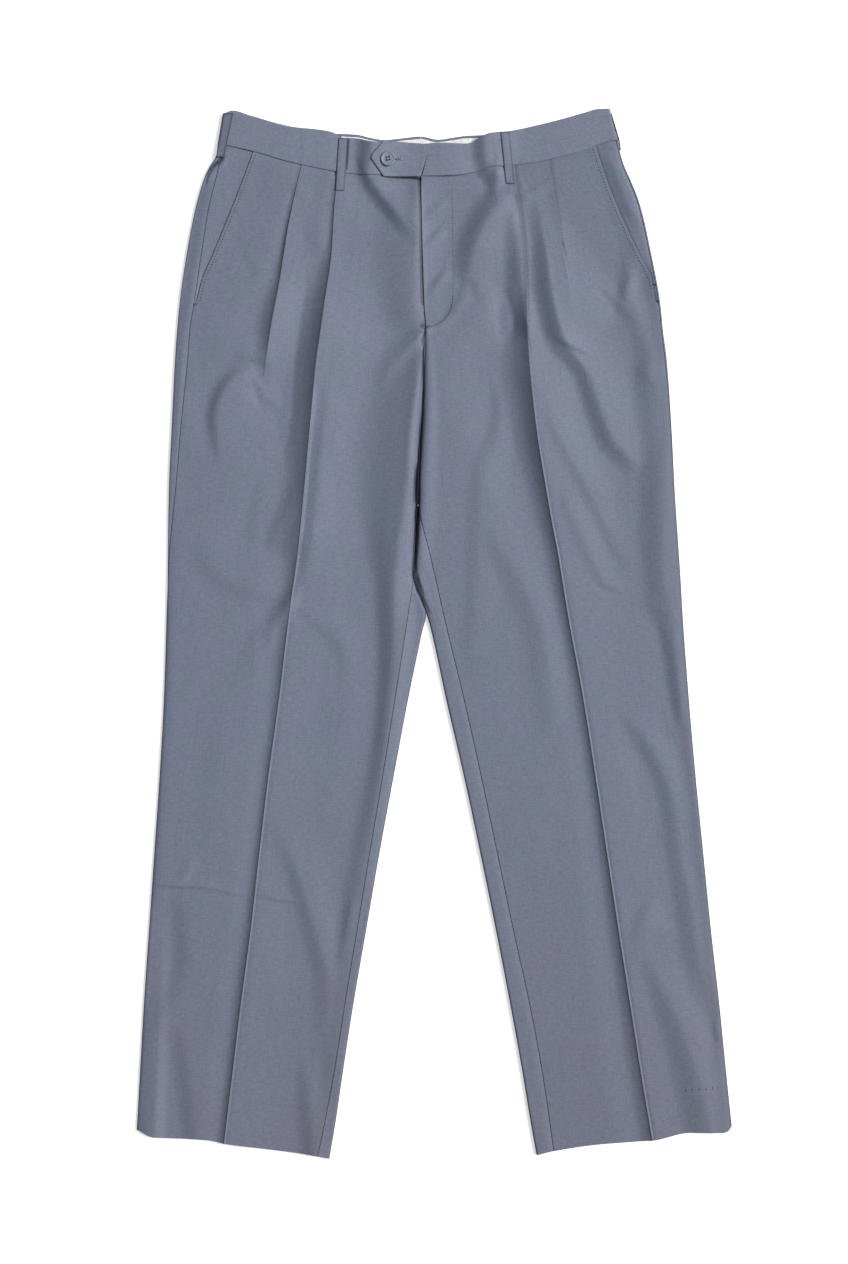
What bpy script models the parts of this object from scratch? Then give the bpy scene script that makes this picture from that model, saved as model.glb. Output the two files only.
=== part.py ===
"""Pleated dress trousers, pressed and laid flat with the front up.

The garment lies on the plane z = 0. +Y runs to the waist, +Z is up, and the origin is under the
middle of the outline. "Right" and "left" are the wearer's, so right is -X. Sizes are in millimetres
and become metres where a mesh is made.

Each leg is a flattened tube. Its back panel lies on the plane and turns up round both folds of the
tube. Its front panel lies on top, from the side seam to the fly and the inseam. A row across a panel
is a line of points on the middle of the cloth, each with the direction that the outside faces.
"""

import math

import bmesh
import bpy
import numpy as np

MM = 0.001

WALL = 1.1          # panel cloth with its seam turnings
BAND_WALL = 1.6     # waistband cloth with its interfacing
LOOP_WALL = 1.3
GAP = 0.3           # clearance between pieces
WAIST_GAP = 0.6     # clearance at the curved waist seam
TUBE = 5.0          # floor to upper face of a flattened leg
BAND_TUBE = 5.6     # the same at the waistband

WAIST_Y = 481.0     # a row with this level follows the waist seam
HIP_Y = 345.0       # rows below this level are straight
SHIN_Y = -390.0     # rows below this level turn towards the hem
HEM_Y = -533.0

ROW_LEVELS = (
    WAIST_Y, 469, 448, 420, 392, 366, 347, 333, 316, 302, 285, 250, 200, 156, 134, 117, 90, 72,
    60, 46, 32, 21, 0, -60, -150, -250, -350, -440, -495, HEM_Y,
)
POCKET_LEVELS = ROW_LEVELS[:7]
FRONT_EDGE = (0, 1.6, 3.6, 8)   # first points across a front, in from its outer edge
INNER_EDGE = (11, 5, 0)         # last points across it, out from its inner edge


def table(columns, *rows):
    """A table as one array for each named column, with the first column rising."""
    rows = sorted(rows)
    return {name: np.array([row[i] for row in rows], float) for i, name in enumerate(columns.split())}


# How far out from the middle of the garment each line of a leg lies, at a height y.
# inner is the front panel's inner edge: the fly and rise, then the inseam.
RIGHT_LINES = table(
    "y fold_out outseam crease inner",
    (550, 218.5, 210, 96, 14),
    (515, 225.8, 219, 98.5, 14),
    (502, 228.8, 221.5, 99.5, 14),
    (492, 234.5, 225, 100, 13.9),
    (480, 240, 228, 101, 13.8),
    (450, 249, 235.5, 104.5, 13.1),
    (400, 259, 243.5, 107.5, 11.9),
    (345, 267, 251.7, 115, 10),
    (318, 269.5, 256, 118.5, 8.3),
    (290, 271.5, 258, 122.5, 9.8),
    (220, 275, 265, 129.5, 13.6),
    (155, 278, 270.5, 135.5, 16.2),
    (90, 279.3, 277, 142, 20),
    (60, 279.8, 279, 146, 21.4),
    (25, 280.5, 280.5, 151, 26.2),
    (-70, 283.5, 283.5, 162.5, 41),
    (-150, 288, 288, 173.5, 53.7),
    (-230, 293.5, 293.5, 183, 67.3),
    (-310, 299, 299, 192, 80.3),
    (-390, 304.5, 304.5, 202.5, 93.5),
    (-460, 308.5, 308.5, 211, 104.5),
    (-560, 314, 314, 223, 124),
)
LEFT_LINES = table(
    "y fold_out outseam crease inner",
    (550, 186, 184.5, 80, -14),
    (517, 193.6, 192, 82.5, -14),
    (508, 195, 193.5, 83, -14),
    (492, 199.5, 198, 84.5, -13.9),
    (480, 204.5, 203, 85.5, -13.8),
    (450, 216, 214.5, 90, -13.1),
    (400, 227.7, 226, 95.5, -11.9),
    (345, 238, 236.3, 97.5, -10),
    (318, 240.7, 239, 99, -8.3),
    (290, 244.3, 242.6, 101, -9.8),
    (220, 249.3, 249, 108, -13.6),
    (155, 252.7, 252.7, 117, -16.2),
    (134, 254, 254, 120.7, -15.6),
    (115, 255.3, 255.3, 124, -12),
    (90, 257, 257, 129, -5.5),
    (60, 259, 259, 135.2, 1.6),
    (25, 261, 261, 141.3, 9.4),
    (-70, 268, 268, 157, 32.2),
    (-150, 275, 275, 169.5, 50),
    (-230, 283, 283, 181.5, 66.8),
    (-310, 291, 291, 193.5, 83.5),
    (-390, 300, 300, 206, 101),
    (-460, 307, 307, 217, 114),
    (-560, 317.5, 317.5, 234, 128.5),
)
# The legs' inner folds, also as distances out. Down to y = 60 both lie on the rise seam.
RIGHT_FORK = table(
    "y fold_in",
    (60, 21.4), (45, 16.7), (33, 12.3), (21, 8), (0, 12.5), (-70, 27), (-150, 42), (-230, 56.8),
    (-310, 70.6), (-390, 84.4), (-460, 95.2), (-510, 102.5), (-560, 111),
)
LEFT_FORK = table(
    "y fold_in",
    (156, -16.2), (117, -18.1), (90, -20), (60, -21.4), (45, -16.7), (33, -12.1), (21, -7.7), (0, -2.2),
    (-70, 13), (-150, 31.5), (-230, 48.5), (-310, 64.8), (-390, 80.2), (-460, 92.8), (-510, 101), (-560, 110),
)
RIGHT_HEM = table(
    "out y",
    (312, -520), (294, -528), (239, -531), (220, -534.5), (155, -543), (122, -548), (108, -551),
)
LEFT_HEM = table(
    "out y",
    (314, -515), (306, -523), (270, -523), (230, -531), (173, -535.5), (126, -542.5), (107, -547),
)
# The slanted pocket mouth, from the waist seam to the side seam.
RIGHT_POCKET = table(
    "y mouth",
    (530, 181), (510, 188), (480, 199), (450, 210.5), (400, 231), (370, 243.5), (340, 251),
)
LEFT_POCKET = table(
    "y mouth",
    (530, 164), (510, 170), (480, 180), (450, 191.6), (400, 214.5), (370, 229.5), (340, 237),
)

# The outer pleat's fold edge runs on below the pleat as a plain line down the panel.
RIGHT_PLEAT = table(
    "y edge",
    (500, 137), (480, 141.7), (450, 148.4), (425, 153.4), (400, 157.3), (370, 162), (320, 171),
    (285, 176), (200, 185), (0, 204), (-250, 232), (-560, 264),
)
LEFT_PLEAT = table(
    "y edge",
    (510, 119.5), (480, 123), (450, 128), (425, 132), (400, 135.5), (370, 140.7), (320, 148),
    (285, 154), (200, 167), (0, 196), (-250, 232), (-560, 270),
)
# depth: cloth folded under. open: 1 is a flat Z fold, 0 is flat cloth.
OUTER_PLEAT_FOLD = table(
    "y depth open",
    (520, 14, 1), (481, 13, 1), (425, 9, 1), (366, 4, 1), (347, 2.6, 1), (333, 2.4, 0.75),
    (316, 2.2, 0.5), (302, 2.2, 0.3), (285, 2.2, 0.14), (250, 2.2, 0), (-560, 2.2, 0),
)
INNER_PLEAT_FOLD = table(
    "y depth open",
    (520, 16, 1), (481, 15, 1), (425, 11, 1), (366, 5, 1), (347, 3, 1), (333, 2.5, 0.85),
    (316, 2.2, 0.6), (302, 2.2, 0.42), (285, 2.2, 0.25), (250, 2.2, 0), (-560, 2.2, 0),
)
PLEAT_TOP = 5.3         # upper face of a pleat's top layer
PLEAT_FLOOR = 1.4       # lower face of a pleat's bottom layer, just over the back panel
TURN = 0.7              # radius of a pleat's turn, on the middle of the cloth
LEAST_LAYER = 0.6       # flat stretch between a pleat's two turns, at least
SLOPE_FAR = 14          # the cloth starts to sink this far before a shut pleat's edge
SLOPE_OPENS = 8         # and this much farther before an open one's
SLOPE_NEAR = 5.5        # it is nearly down this far before the edge
SLOPE_SUNK = 0.45       # share of the depth that it has sunk where it starts
PLEAT_BACK = 6          # past a pleat's hidden turn the cloth lies flat again
CREASE_RIDGE = table("y height", (360, 0), (316, 0.7), (285, 1.4), (200, 2.2), (-300, 2.0), (-560, 1.5))

# lap: how far a front's inner edge is lifted over the other one. under: how far the right front
# runs on beneath the fly.
LAPS = table(
    "y left_lap right_lap under",
    (520, 1.4, 0, 5), (333, 1.4, 0, 4.5), (316, 1.4, 0, 0), (302, 0.7, 0.7, 0), (285, 0, 1.3, 0),
    (90, 0, 1.3, 0), (72, 0, 0.6, 0), (60, 0, 0, 0), (-560, 0, 0, 0),
)
# Broad soft folds of the fronts, as x and y of both ends. A negative height is a trough.
SOFT_FOLDS = table(
    "x0 y0 x1 y1 reach height",
    (-156, 424, -177, 303, 26, -1.1),
    (-187, 288, -233, 250, 30, 1.3),
    (-137, 270, -142, 120, 22, -1.2),
    (-50, 450, -14, 225, 34, 1.2),
    (-60, 214, -52, 0, 30, -1.1),
    (-52, -40, -82, -210, 26, -0.9),
    (-158, -237, -119, -336, 30, 1.1),
    (72, 462, 30, 408, 30, 1.2),
    (78, 400, 92, 220, 24, -1.2),
    (128, 323, 187, 187, 32, -1.3),
    (210, 249, 222, 60, 32, -1.1),
    (256, -30, 264, -250, 24, -0.9),
    (229, -356, 264, -419, 30, 1.1),
)
SOFT_KEEP_OFF = 18      # the soft folds die away this close to a tube's fold and to the fly
FACING_DROP = 1.1       # how far a pocket's facing lies below the upper face at the pocket mouth
FACING_UNDER = 6        # how far it runs on under the front
FACING_LEAST = 4        # where less of it shows than this, all of it lies sunk
POCKET_LIFT = 0.4       # how far the front is lifted over the facing
RIM_STEP = 0.8          # between points beside a seam

# Heights along y of the waist, at x across the whole garment. seam is the waistband's lower edge.
WAIST = table(
    "x seam front_top back_top",
    (-231, 515.5, 541.8, 541), (-222, 513.5, 545, 544.2), (-211, 511, 549, 548.2),
    (-193, 507, 544, 543.2), (-151, 495, 532.5, 531.7), (-105, 485.3, 526, 525.4),
    (-99, 484.3, 521, 525.2), (-81, 482.3, 520, 524.3), (-67, 481.3, 516.3, 521),
    (-52, 480.8, 515, 518.7), (-33, 480.4, 515, 520.5), (-14, 480.1, 514, 522.4),
    (4, 480.3, 515, 519), (21, 480.8, 514.7, 521.3), (33, 482.4, 514.3, 523),
    (41, 484.1, 516, 523.4), (49, 486.2, 520.8, 523.7), (59, 489.8, 525, 524.4),
    (77, 490.9, 527, 526.3), (108, 495, 533.5, 532.8), (133, 500.5, 539.7, 539),
    (159, 507.5, 547, 546.3), (172, 513, 550.6, 549.9), (184, 516.8, 551, 550.2),
    (191, 517.6, 546, 545), (200, 518.7, 542, 541),
)
MIDDLE_X = -14          # the centre-back seam and the fly at the waist
BAND_LAP = 1.9          # lift of the left waistband where it crosses the right one
BAND_LAP_X = (20, 56)   # the lift ends between these

TAB_TOP = BAND_TUBE + GAP + BAND_WALL
TAB_OUTLINE = ((-67, 499.8), (-52.5, 479.4), (-16, 479.7), (-13, 480.9), (-3.6, 513.8), (-11.3, 513.9),
               (-33.4, 515.6), (-52.3, 516.6))
TAB_BEVEL = 0.35

BUTTON_SIZE = 15.4
BUTTON_AT = (-48.1, 497.7)
BUTTON_THICK = 2.6
BUTTON_RIM = 1.7
BUTTON_WELL = 0.8
HOLE_SIZE = 1.7
HOLE_SPREAD = 2.7       # from one hole's middle to the next

LINING_DROP = 2.8       # bare edge of the back waistband above its lining
LINING_DEPTH = 20.0
LINING_WALL = 1.0

LOOP_SWELL = 0.25       # a front loop's middle stands higher than its edges
RIGHT_SIDE_LOOP = table(
    "y centre first run",
    (546, -217.9, 175, 6), (530, -220.6, 172, 5.8), (516, -223.1, 155, 5.2), (508, -225, 128, 5.2),
    (500, -227, 112, 6),
)
LEFT_SIDE_LOOP = table(
    "y centre first run",
    (546, 183.2, 213, 0), (530, 187.8, 213, 0), (518, 191.3, 213, 0), (508, 192.7, 213, 0),
)

CLOTH = ("wool cloth", (0.20, 0.22, 0.29), 0.8)
POLISH = ("button horn", (0.16, 0.17, 0.22), 0.4)
WHITE = ("waist lining", (0.85, 0.85, 0.83), 0.9)


def smooth(xs, ys):
    """A curve through the points that never swings past them."""
    widths = np.diff(xs)
    slopes = np.diff(ys) / widths
    tangents = np.zeros(len(xs))
    tangents[0], tangents[-1] = slopes[0], slopes[-1]
    for i in range(1, len(xs) - 1):
        if slopes[i - 1] * slopes[i] > 0:
            near, far = 2 * widths[i] + widths[i - 1], widths[i] + 2 * widths[i - 1]
            tangents[i] = (near + far) / (near / slopes[i - 1] + far / slopes[i])

    def value(x):
        x = min(max(x, xs[0]), xs[-1])
        i = min(max(int(np.searchsorted(xs, x)) - 1, 0), len(xs) - 2)
        t = (x - xs[i]) / widths[i]
        start = ys[i] * (1 + 2 * t) * (1 - t) ** 2 + tangents[i] * widths[i] * t * (1 - t) ** 2
        end = ys[i + 1] * t * t * (3 - 2 * t) - tangents[i + 1] * widths[i] * t * t * (1 - t)
        return start + end

    return value


def straight(data, column):
    """Straight steps between a table's rows."""
    first = next(iter(data))
    return lambda x: float(np.interp(x, data[first], data[column]))


def curve(data, column):
    first = next(iter(data))
    return smooth(data[first], data[column])


waist_seam = straight(WAIST, "seam")


class Side:
    """One leg of the garment. Distances out from the middle are positive away from it."""

    def __init__(self, name, sign, lines, fork, turn_level, hem, pocket, pleat, lap):
        self.name = name
        self.sign = sign
        self.turn_level = turn_level    # the back's inner edge turns up here and folds over below
        self.fold_out = curve(lines, "fold_out")
        self.outseam = curve(lines, "outseam")
        self.crease = curve(lines, "crease")
        self.inner = curve(lines, "inner")
        self.fold_in = curve(fork, "fold_in")
        self.hem = straight(hem, "y")
        self.mouth = curve(pocket, "mouth")
        self.pleat = curve(pleat, "edge")
        self.lap = straight(LAPS, lap)
        self.waist_out = self.meet(self.outseam, WAIST_Y)

    def row_y(self, level, out, top=None):
        """The height y of a row, at a distance out from the middle. top is the waist seam there."""
        if level > HIP_Y:
            if top is None:
                top = waist_seam(self.sign * out)
            share = (level - HIP_Y) / (WAIST_Y - HIP_Y)
            return level + (top - WAIST_GAP / 2 - WAIST_Y) * share
        if level < SHIN_Y:
            share = (SHIN_Y - level) / (SHIN_Y - HEM_Y)
            return level + (self.hem(out) - HEM_Y) * share
        return level

    def back_seam(self, out):
        """The straight waist seam of the back, from the centre back to the side seam."""
        middle_out = self.sign * MIDDLE_X
        share = (out - middle_out) / (self.waist_out - middle_out)
        low, high = waist_seam(MIDDLE_X), waist_seam(self.sign * self.waist_out)
        return low + (high - low) * share

    def back_y(self, level, out):
        return self.row_y(level, out, self.back_seam(out))

    def meet(self, line, level):
        """The distance out at which a line crosses a row."""
        out = line(level)
        for _ in range(8):
            out = line(self.row_y(level, out))
        return out

    def meet_rise(self, level):
        """The distance out at which the seam between the two halves crosses a row."""
        return self.meet(lambda y: self.sign * rise(y), level)


rise = curve({"y": RIGHT_LINES["y"], "x": -RIGHT_LINES["inner"]}, "x")
RIGHT = Side("right", -1, RIGHT_LINES, RIGHT_FORK, 60, RIGHT_HEM, RIGHT_POCKET, RIGHT_PLEAT, "right_lap")
LEFT = Side("left", 1, LEFT_LINES, LEFT_FORK, 134, LEFT_HEM, LEFT_POCKET, LEFT_PLEAT, "left_lap")
lap_under = straight(LAPS, "under")
crease_ridge = straight(CREASE_RIDGE, "height")


def soft_height(side, out, y):
    """Height that the broad folds add to a front's upper face."""
    x = side.sign * out
    total = 0.0
    for x0, y0, x1, y1, reach, height in zip(*SOFT_FOLDS.values()):
        dx, dy = x1 - x0, y1 - y0
        t = min(max(((x - x0) * dx + (y - y0) * dy) / (dx * dx + dy * dy), 0), 1)
        away = math.hypot(x - x0 - t * dx, y - y0 - t * dy)
        if away < reach:
            total += height * (0.5 + 0.5 * math.cos(math.pi * away / reach))
    keep = min((side.fold_out(y) - out) / SOFT_KEEP_OFF, (out - side.inner(y)) / SOFT_KEEP_OFF, 1)
    return total * max(keep, 0)


def round_fold(edge, along, height):
    """A point of the outer face round a tube's fold: how far in from the fold, height and direction.

    along is 0 where the upper face starts to turn down, and negative on the turn.
    """
    radius = height / 2
    if along >= 0:
        return edge + radius + along, height, 90.0
    angle = 90 - math.degrees(along / radius)
    turn = math.radians(angle)
    return edge + radius + radius * math.cos(turn), radius + radius * math.sin(turn), angle


def seam_along(inside, height):
    """Where a seam lies on the way round the fold, from its distance inside the fold."""
    radius = height / 2
    if inside >= radius:
        return inside - radius
    return -radius * (math.acos(max(inside, 0) / radius - 1) - math.pi / 2)


def outer_start(side, level):
    """The side seam on the way round the outer fold, and the fold's place, inward distances."""
    fold = side.meet(side.fold_out, level)
    return seam_along(fold - side.meet(side.outseam, level), TUBE), -fold


def middle(point, thickness):
    """From a point of the outer face to the middle of the cloth."""
    u, z, angle = point
    turn = math.radians(angle)
    return u - math.cos(turn) * thickness / 2, z - math.sin(turn) * thickness / 2, angle


def pleat_points(edge, depth, fold, low, high, ridge):
    """The six points of a Z fold, from its bottom layer to its top layer, as it opens."""
    chord = TURN * math.sqrt(2)
    layer = max(depth - 2 * TURN - WALL / 2, LEAST_LAYER)
    steps = ((chord, 45), (chord, 135), (layer, 180), (chord, 135), (chord, 45))
    us, zs = [0.0], [0.0]
    for length, angle in steps:
        turn = math.radians(angle * fold)
        us.append(us[-1] + length * math.cos(turn))
        zs.append(zs[-1] + length * math.sin(turn))
    shift = edge + WALL / 2 * fold - us[4]
    scale = (high - low) / zs[-1] if fold > 0 else 0
    turns = (0, 90, 180, 180, 90, 0)
    ridges = (0.25, 0.45, 0.65, 0.88, 1.0, 0.8)
    return [
        (u + shift, low + z * scale + ridge * share, 90 + turn * fold)
        for u, z, turn, share in zip(us, zs, turns, ridges)
    ]


def pleat_stretch(side, level, line, folds, ridge):
    """The points across a front from the slope before a pleat to the flat cloth behind it."""
    flat = TUBE - WALL / 2
    edge = -side.meet(line, level)
    depth = straight(folds, "depth")(level)
    fold = straight(folds, "open")(level)
    low = flat + (PLEAT_FLOOR + WALL / 2 - flat) * fold
    high = flat + (PLEAT_TOP - TUBE) * fold
    far = SLOPE_FAR + SLOPE_OPENS * (1 - fold)
    points = [(edge - far, flat + (low - flat) * SLOPE_SUNK, 90.0)]
    points.append((edge - SLOPE_NEAR, low + 0.25 * fold + 0.12 * ridge, 90.0))
    points += pleat_points(edge, depth, fold, low, high, ridge)
    points.append((edge + depth * fold + PLEAT_BACK, high - 0.2 * fold + 0.35 * ridge, 90.0))
    soft = soft_height(side, -edge, side.row_y(level, -edge)) * (1 - fold)
    return [(u, z + soft, angle) for u, z, angle in points]


def front_row(side, level):
    """A row across a front, as inward distance, height and direction on the middle of the cloth."""
    flat = TUBE - WALL / 2

    def plain(u):
        return u, flat + soft_height(side, -u, side.row_y(level, -u)), 90.0

    along, fold = outer_start(side, level)
    if level in POCKET_LEVELS:
        mouth = pocket_mouth(side, level, fold)
        points = [(mouth + step, flat + POCKET_LIFT, 90.0) for step in FRONT_EDGE]
    else:
        points = [middle(round_fold(fold, along + GAP / 2 + step, TUBE), WALL) for step in FRONT_EDGE]

    outer_pleat = pleat_stretch(side, level, side.pleat, OUTER_PLEAT_FOLD, 0.0)
    inner_pleat = pleat_stretch(side, level, side.crease, INNER_PLEAT_FOLD, crease_ridge(level))
    for stretch in (outer_pleat, inner_pleat):
        points.append(plain((points[-1][0] + stretch[0][0]) / 2))
        points += stretch

    start = points[-1][0]
    inner = -side.meet(side.inner, level) - GAP / 2
    if side is RIGHT:
        inner += lap_under(level)
    width = inner - start
    points += [plain(start + 0.22 * width), plain(start + 0.5 * width)]
    points.append(plain(inner - max(12, min(33, 0.34 * width))))
    points += [(inner - step, flat + side.lap(level), 90.0) for step in INNER_EDGE]
    return points


def back_row(side, level):
    """A row across a back: its inner edge, the flat stretch on the floor, then round the outer fold."""
    full = math.pi * TUBE / 2
    if level > side.turn_level:
        end = -side.meet_rise(level) - GAP / 2
        rim = [(end - RIM_STEP * i, WALL / 2, 270.0) for i in range(8)]
    else:
        fold = side.meet(side.fold_in, level) + GAP / 2
        if level == side.turn_level:
            points = [round_fold(0, -full + full / 2 * i / 5, TUBE) for i in range(6)]
            points += [(0, TUBE / 2 + RIM_STEP * share, 180.0) for share in (0.5, 1.0)]
        else:
            inside = side.meet(side.inner, level) - GAP / 2 - fold
            points = [round_fold(0, step, TUBE) for step in round_steps(seam_along(inside, TUBE))]
        rim = [(-fold - u, z, 180 - angle) for u, z, angle in (middle(p, WALL) for p in points)][::-1]

    along, fold = outer_start(side, level)
    outer = [middle(round_fold(fold, step, TUBE), WALL) for step in round_steps(along - GAP / 2)]
    first, last = rim[-1][0], outer[0][0]
    floor = [(first + (last - first) * share, WALL / 2, 270.0) for share in (0.33, 0.66)]
    return rim + floor + outer


def round_steps(end):
    """Eight steps round a tube's fold, from the floor to a seam's place on the upper face."""
    full = math.pi * TUBE / 2
    turn = min(0, end - RIM_STEP)
    return [-full + (turn + full) * i / 5 for i in range(6)] + [(turn + end) / 2, end]


def facing_row(side, level):
    """A row across a pocket's facing, from the side seam to just under the pocket mouth."""
    along, fold = outer_start(side, level)
    mouth = pocket_mouth(side, level, fold)
    sunk = TUBE - FACING_DROP - WALL / 2
    points = [middle(round_fold(fold, along + GAP / 2 + step, TUBE), WALL) for step in (0, 1.5, 3.0)]
    if mouth - points[-1][0] < FACING_LEAST:
        points = [(mouth - 2 + step, sunk, 90.0) for step in (0, 0.8, 1.6)]
    points.append((max(mouth - 1.5, points[-1][0] + RIM_STEP), sunk, 90.0))
    points.append((mouth + FACING_UNDER, sunk, 90.0))
    return points


def pocket_mouth(side, level, fold):
    """The front's edge at the pocket, kept off the turn of the fold."""
    return max(-side.meet(side.mouth, level), fold + TUBE / 2 + 3)


def wall(name, rows, thickness, look):
    """A closed wall from rows of points x, y, z and the direction across x and z that it faces."""
    mesh = bmesh.new()
    grids = []
    for way in (0.5, -0.5):
        grid = []
        for row in rows:
            line = []
            for x, y, z, across, up in row:
                reach = thickness * way
                line.append(mesh.verts.new(((x + across * reach) * MM, y * MM, (z + up * reach) * MM)))
            grid.append(line)
        grids.append(grid)
    outside, inside = grids
    last_row, last = len(rows) - 1, len(rows[0]) - 1
    for grid in grids:
        for i in range(last_row):
            for j in range(last):
                mesh.faces.new((grid[i][j], grid[i + 1][j], grid[i + 1][j + 1], grid[i][j + 1]))
    for i in range(last_row):
        for j in (0, last):
            mesh.faces.new((outside[i][j], inside[i][j], inside[i + 1][j], outside[i + 1][j]))
    for j in range(last):
        for i in (0, last_row):
            mesh.faces.new((outside[i][j], outside[i][j + 1], inside[i][j + 1], inside[i][j]))
    bmesh.ops.recalc_face_normals(mesh, faces=mesh.faces)
    return add(name, mesh, look)


def add(name, mesh, look):
    data = bpy.data.meshes.new(name)
    mesh.to_mesh(data)
    mesh.free()
    thing = bpy.data.objects.new(name, data)
    bpy.context.scene.collection.objects.link(thing)
    data.materials.append(finish(*look))
    return thing


def finish(name, colour, roughness):
    material = bpy.data.materials.get(name)
    if material is None:
        material = bpy.data.materials.new(name)
        material.use_nodes = True
        shader = material.node_tree.nodes["Principled BSDF"]
        shader.inputs["Base Color"].default_value = (*colour, 1)
        shader.inputs["Roughness"].default_value = roughness
    return material


def panel(name, side, levels, row, row_y):
    """A panel from its rows of inward distance, height and direction."""
    rows = []
    for level in levels:
        line = []
        for u, z, angle in row(side, level):
            turn = math.radians(angle)
            x = -side.sign * u
            line.append((x, row_y(level, -u), z, -side.sign * math.cos(turn), math.sin(turn)))
        rows.append(line)
    return wall(name, rows, WALL, CLOTH)


def waistband(side, folds, end):
    """Half of the waistband: from the centre back, round the side, to its front end.

    folds and end give the side fold and the front end as x at the band's top and at its seam.
    """
    front_top, back_top = straight(WAIST, "front_top"), straight(WAIST, "back_top")
    near_fold = min(map(abs, folds)) - 8
    stations = sorted((x for x in WAIST["x"] if abs(x) < near_fold), key=lambda x: x * side.sign)
    centre = MIDDLE_X + side.sign * GAP / 2
    full = math.pi * BAND_TUBE / 2
    rows = []
    for share in (1.0, 0.5, 0.0):
        fold = folds[0] * share + folds[1] * (1 - share)
        stop = end[0] * share + end[1] * (1 - share)
        floor = [centre] + [x for x in stations if (x - centre) * side.sign > 6]
        front = [x for x in reversed(stations) if (x - stop) * side.sign > 4] + [stop]
        line = [(x, back_top, True, BAND_WALL / 2, 270.0) for x in floor]
        for i in range(7):
            u, z, angle = middle(round_fold(-abs(fold), -full * (6 - i) / 6, BAND_TUBE), BAND_WALL)
            line.append((-side.sign * u, back_top if i < 3 else front_top, i < 3, z, angle))
        line += [(x, front_top, False, BAND_TUBE - BAND_WALL / 2 + band_lift(side, x), 90.0) for x in front]
        row = []
        for x, top, behind, z, angle in line:
            seam = side.back_seam(side.sign * x) if behind else waist_seam(x)
            seam += WAIST_GAP / 2
            turn = math.radians(angle)
            y = seam + (top(x) - seam) * share
            row.append((x, y, z, -side.sign * math.cos(turn), math.sin(turn)))
        rows.append(row)
    return wall(f"waistband_{side.name}", rows, BAND_WALL, CLOTH)


def band_lift(side, x):
    """How far the left waistband is lifted where it runs towards the tab."""
    if side is RIGHT:
        return 0.0
    near, far = BAND_LAP_X
    share = min(max((x - near) / (far - near), 0), 1)
    return BAND_LAP * (0.5 + 0.5 * math.cos(math.pi * share))


def waistband_tab():
    """The pointed extension that the left waistband buttons across with."""
    mesh = bmesh.new()
    low = [mesh.verts.new((x * MM, y * MM, (TAB_TOP - BAND_WALL) * MM)) for x, y in TAB_OUTLINE]
    base = mesh.faces.new(low)
    grown = bmesh.ops.extrude_face_region(mesh, geom=[base])["geom"]
    raised = [g for g in grown if isinstance(g, bmesh.types.BMVert)]
    bmesh.ops.translate(mesh, verts=raised, vec=(0, 0, BAND_WALL * MM))
    rim = [e for e in mesh.edges if all(v in raised for v in e.verts)]
    bmesh.ops.bevel(mesh, geom=rim, offset=TAB_BEVEL * MM, segments=1, affect="EDGES")
    bmesh.ops.recalc_face_normals(mesh, faces=mesh.faces)
    return add("waistband_tab", mesh, CLOTH)


def waistband_lining():
    """The white lining inside the back waistband, where it shows above the front."""
    back_top = straight(WAIST, "back_top")
    rows = []
    for drop in (LINING_DROP, LINING_DROP + LINING_DEPTH):
        row = []
        for x in WAIST["x"]:
            if -100 < x < 60:
                row.append((x, back_top(x) - drop, BAND_WALL + GAP + LINING_WALL / 2, 0.0, 1.0))
        rows.append(row)
    return wall("waistband_lining", rows, LINING_WALL, WHITE)


def front_loop(name, top_x, top_y, foot_x, foot_y, width):
    """A belt loop over the waistband, given by the middle of its top end and foot."""
    rows = []
    seat = BAND_TUBE + GAP + LOOP_WALL / 2
    for share, lift in ((0, 0), (0.08, 0.3), (0.3, 0.7), (0.7, 0.7), (0.92, 0.3), (1, 0)):
        x = top_x + (foot_x - top_x) * share
        y = top_y + (foot_y - top_y) * share
        line = []
        for way, swell in ((-0.5, 0), (-0.3, LOOP_SWELL), (0.3, LOOP_SWELL), (0.5, 0)):
            line.append((x + way * width, y, seat + lift + swell, 0.0, 1.0))
        rows.append(line)
    return wall(name, rows, LOOP_WALL, CLOTH)


def side_loop(side, stations, last):
    """A belt loop round the waistband's side fold.

    Each station gives its y, the x of the fold's middle, the direction in which the loop starts
    round the fold, and how far it runs on over the front. last is the direction it ends in.
    """
    rows = []
    radius = BAND_TUBE / 2 + GAP + LOOP_WALL / 2
    for y, centre, first, run in zip(*stations.values()):
        line = []
        for i in range(5):
            turn = math.radians(first + (last - first) * i / 4)
            across, up = -side.sign * math.cos(turn), math.sin(turn)
            line.append((centre + across * radius, y, BAND_TUBE / 2 + up * radius, across, up))
        if run:
            line.append((centre - side.sign * run, y, BAND_TUBE / 2 + radius, 0.0, 1.0))
        rows.append(line)
    return wall(f"belt_loop_side_{side.name}", rows, LOOP_WALL, CLOTH)


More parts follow.
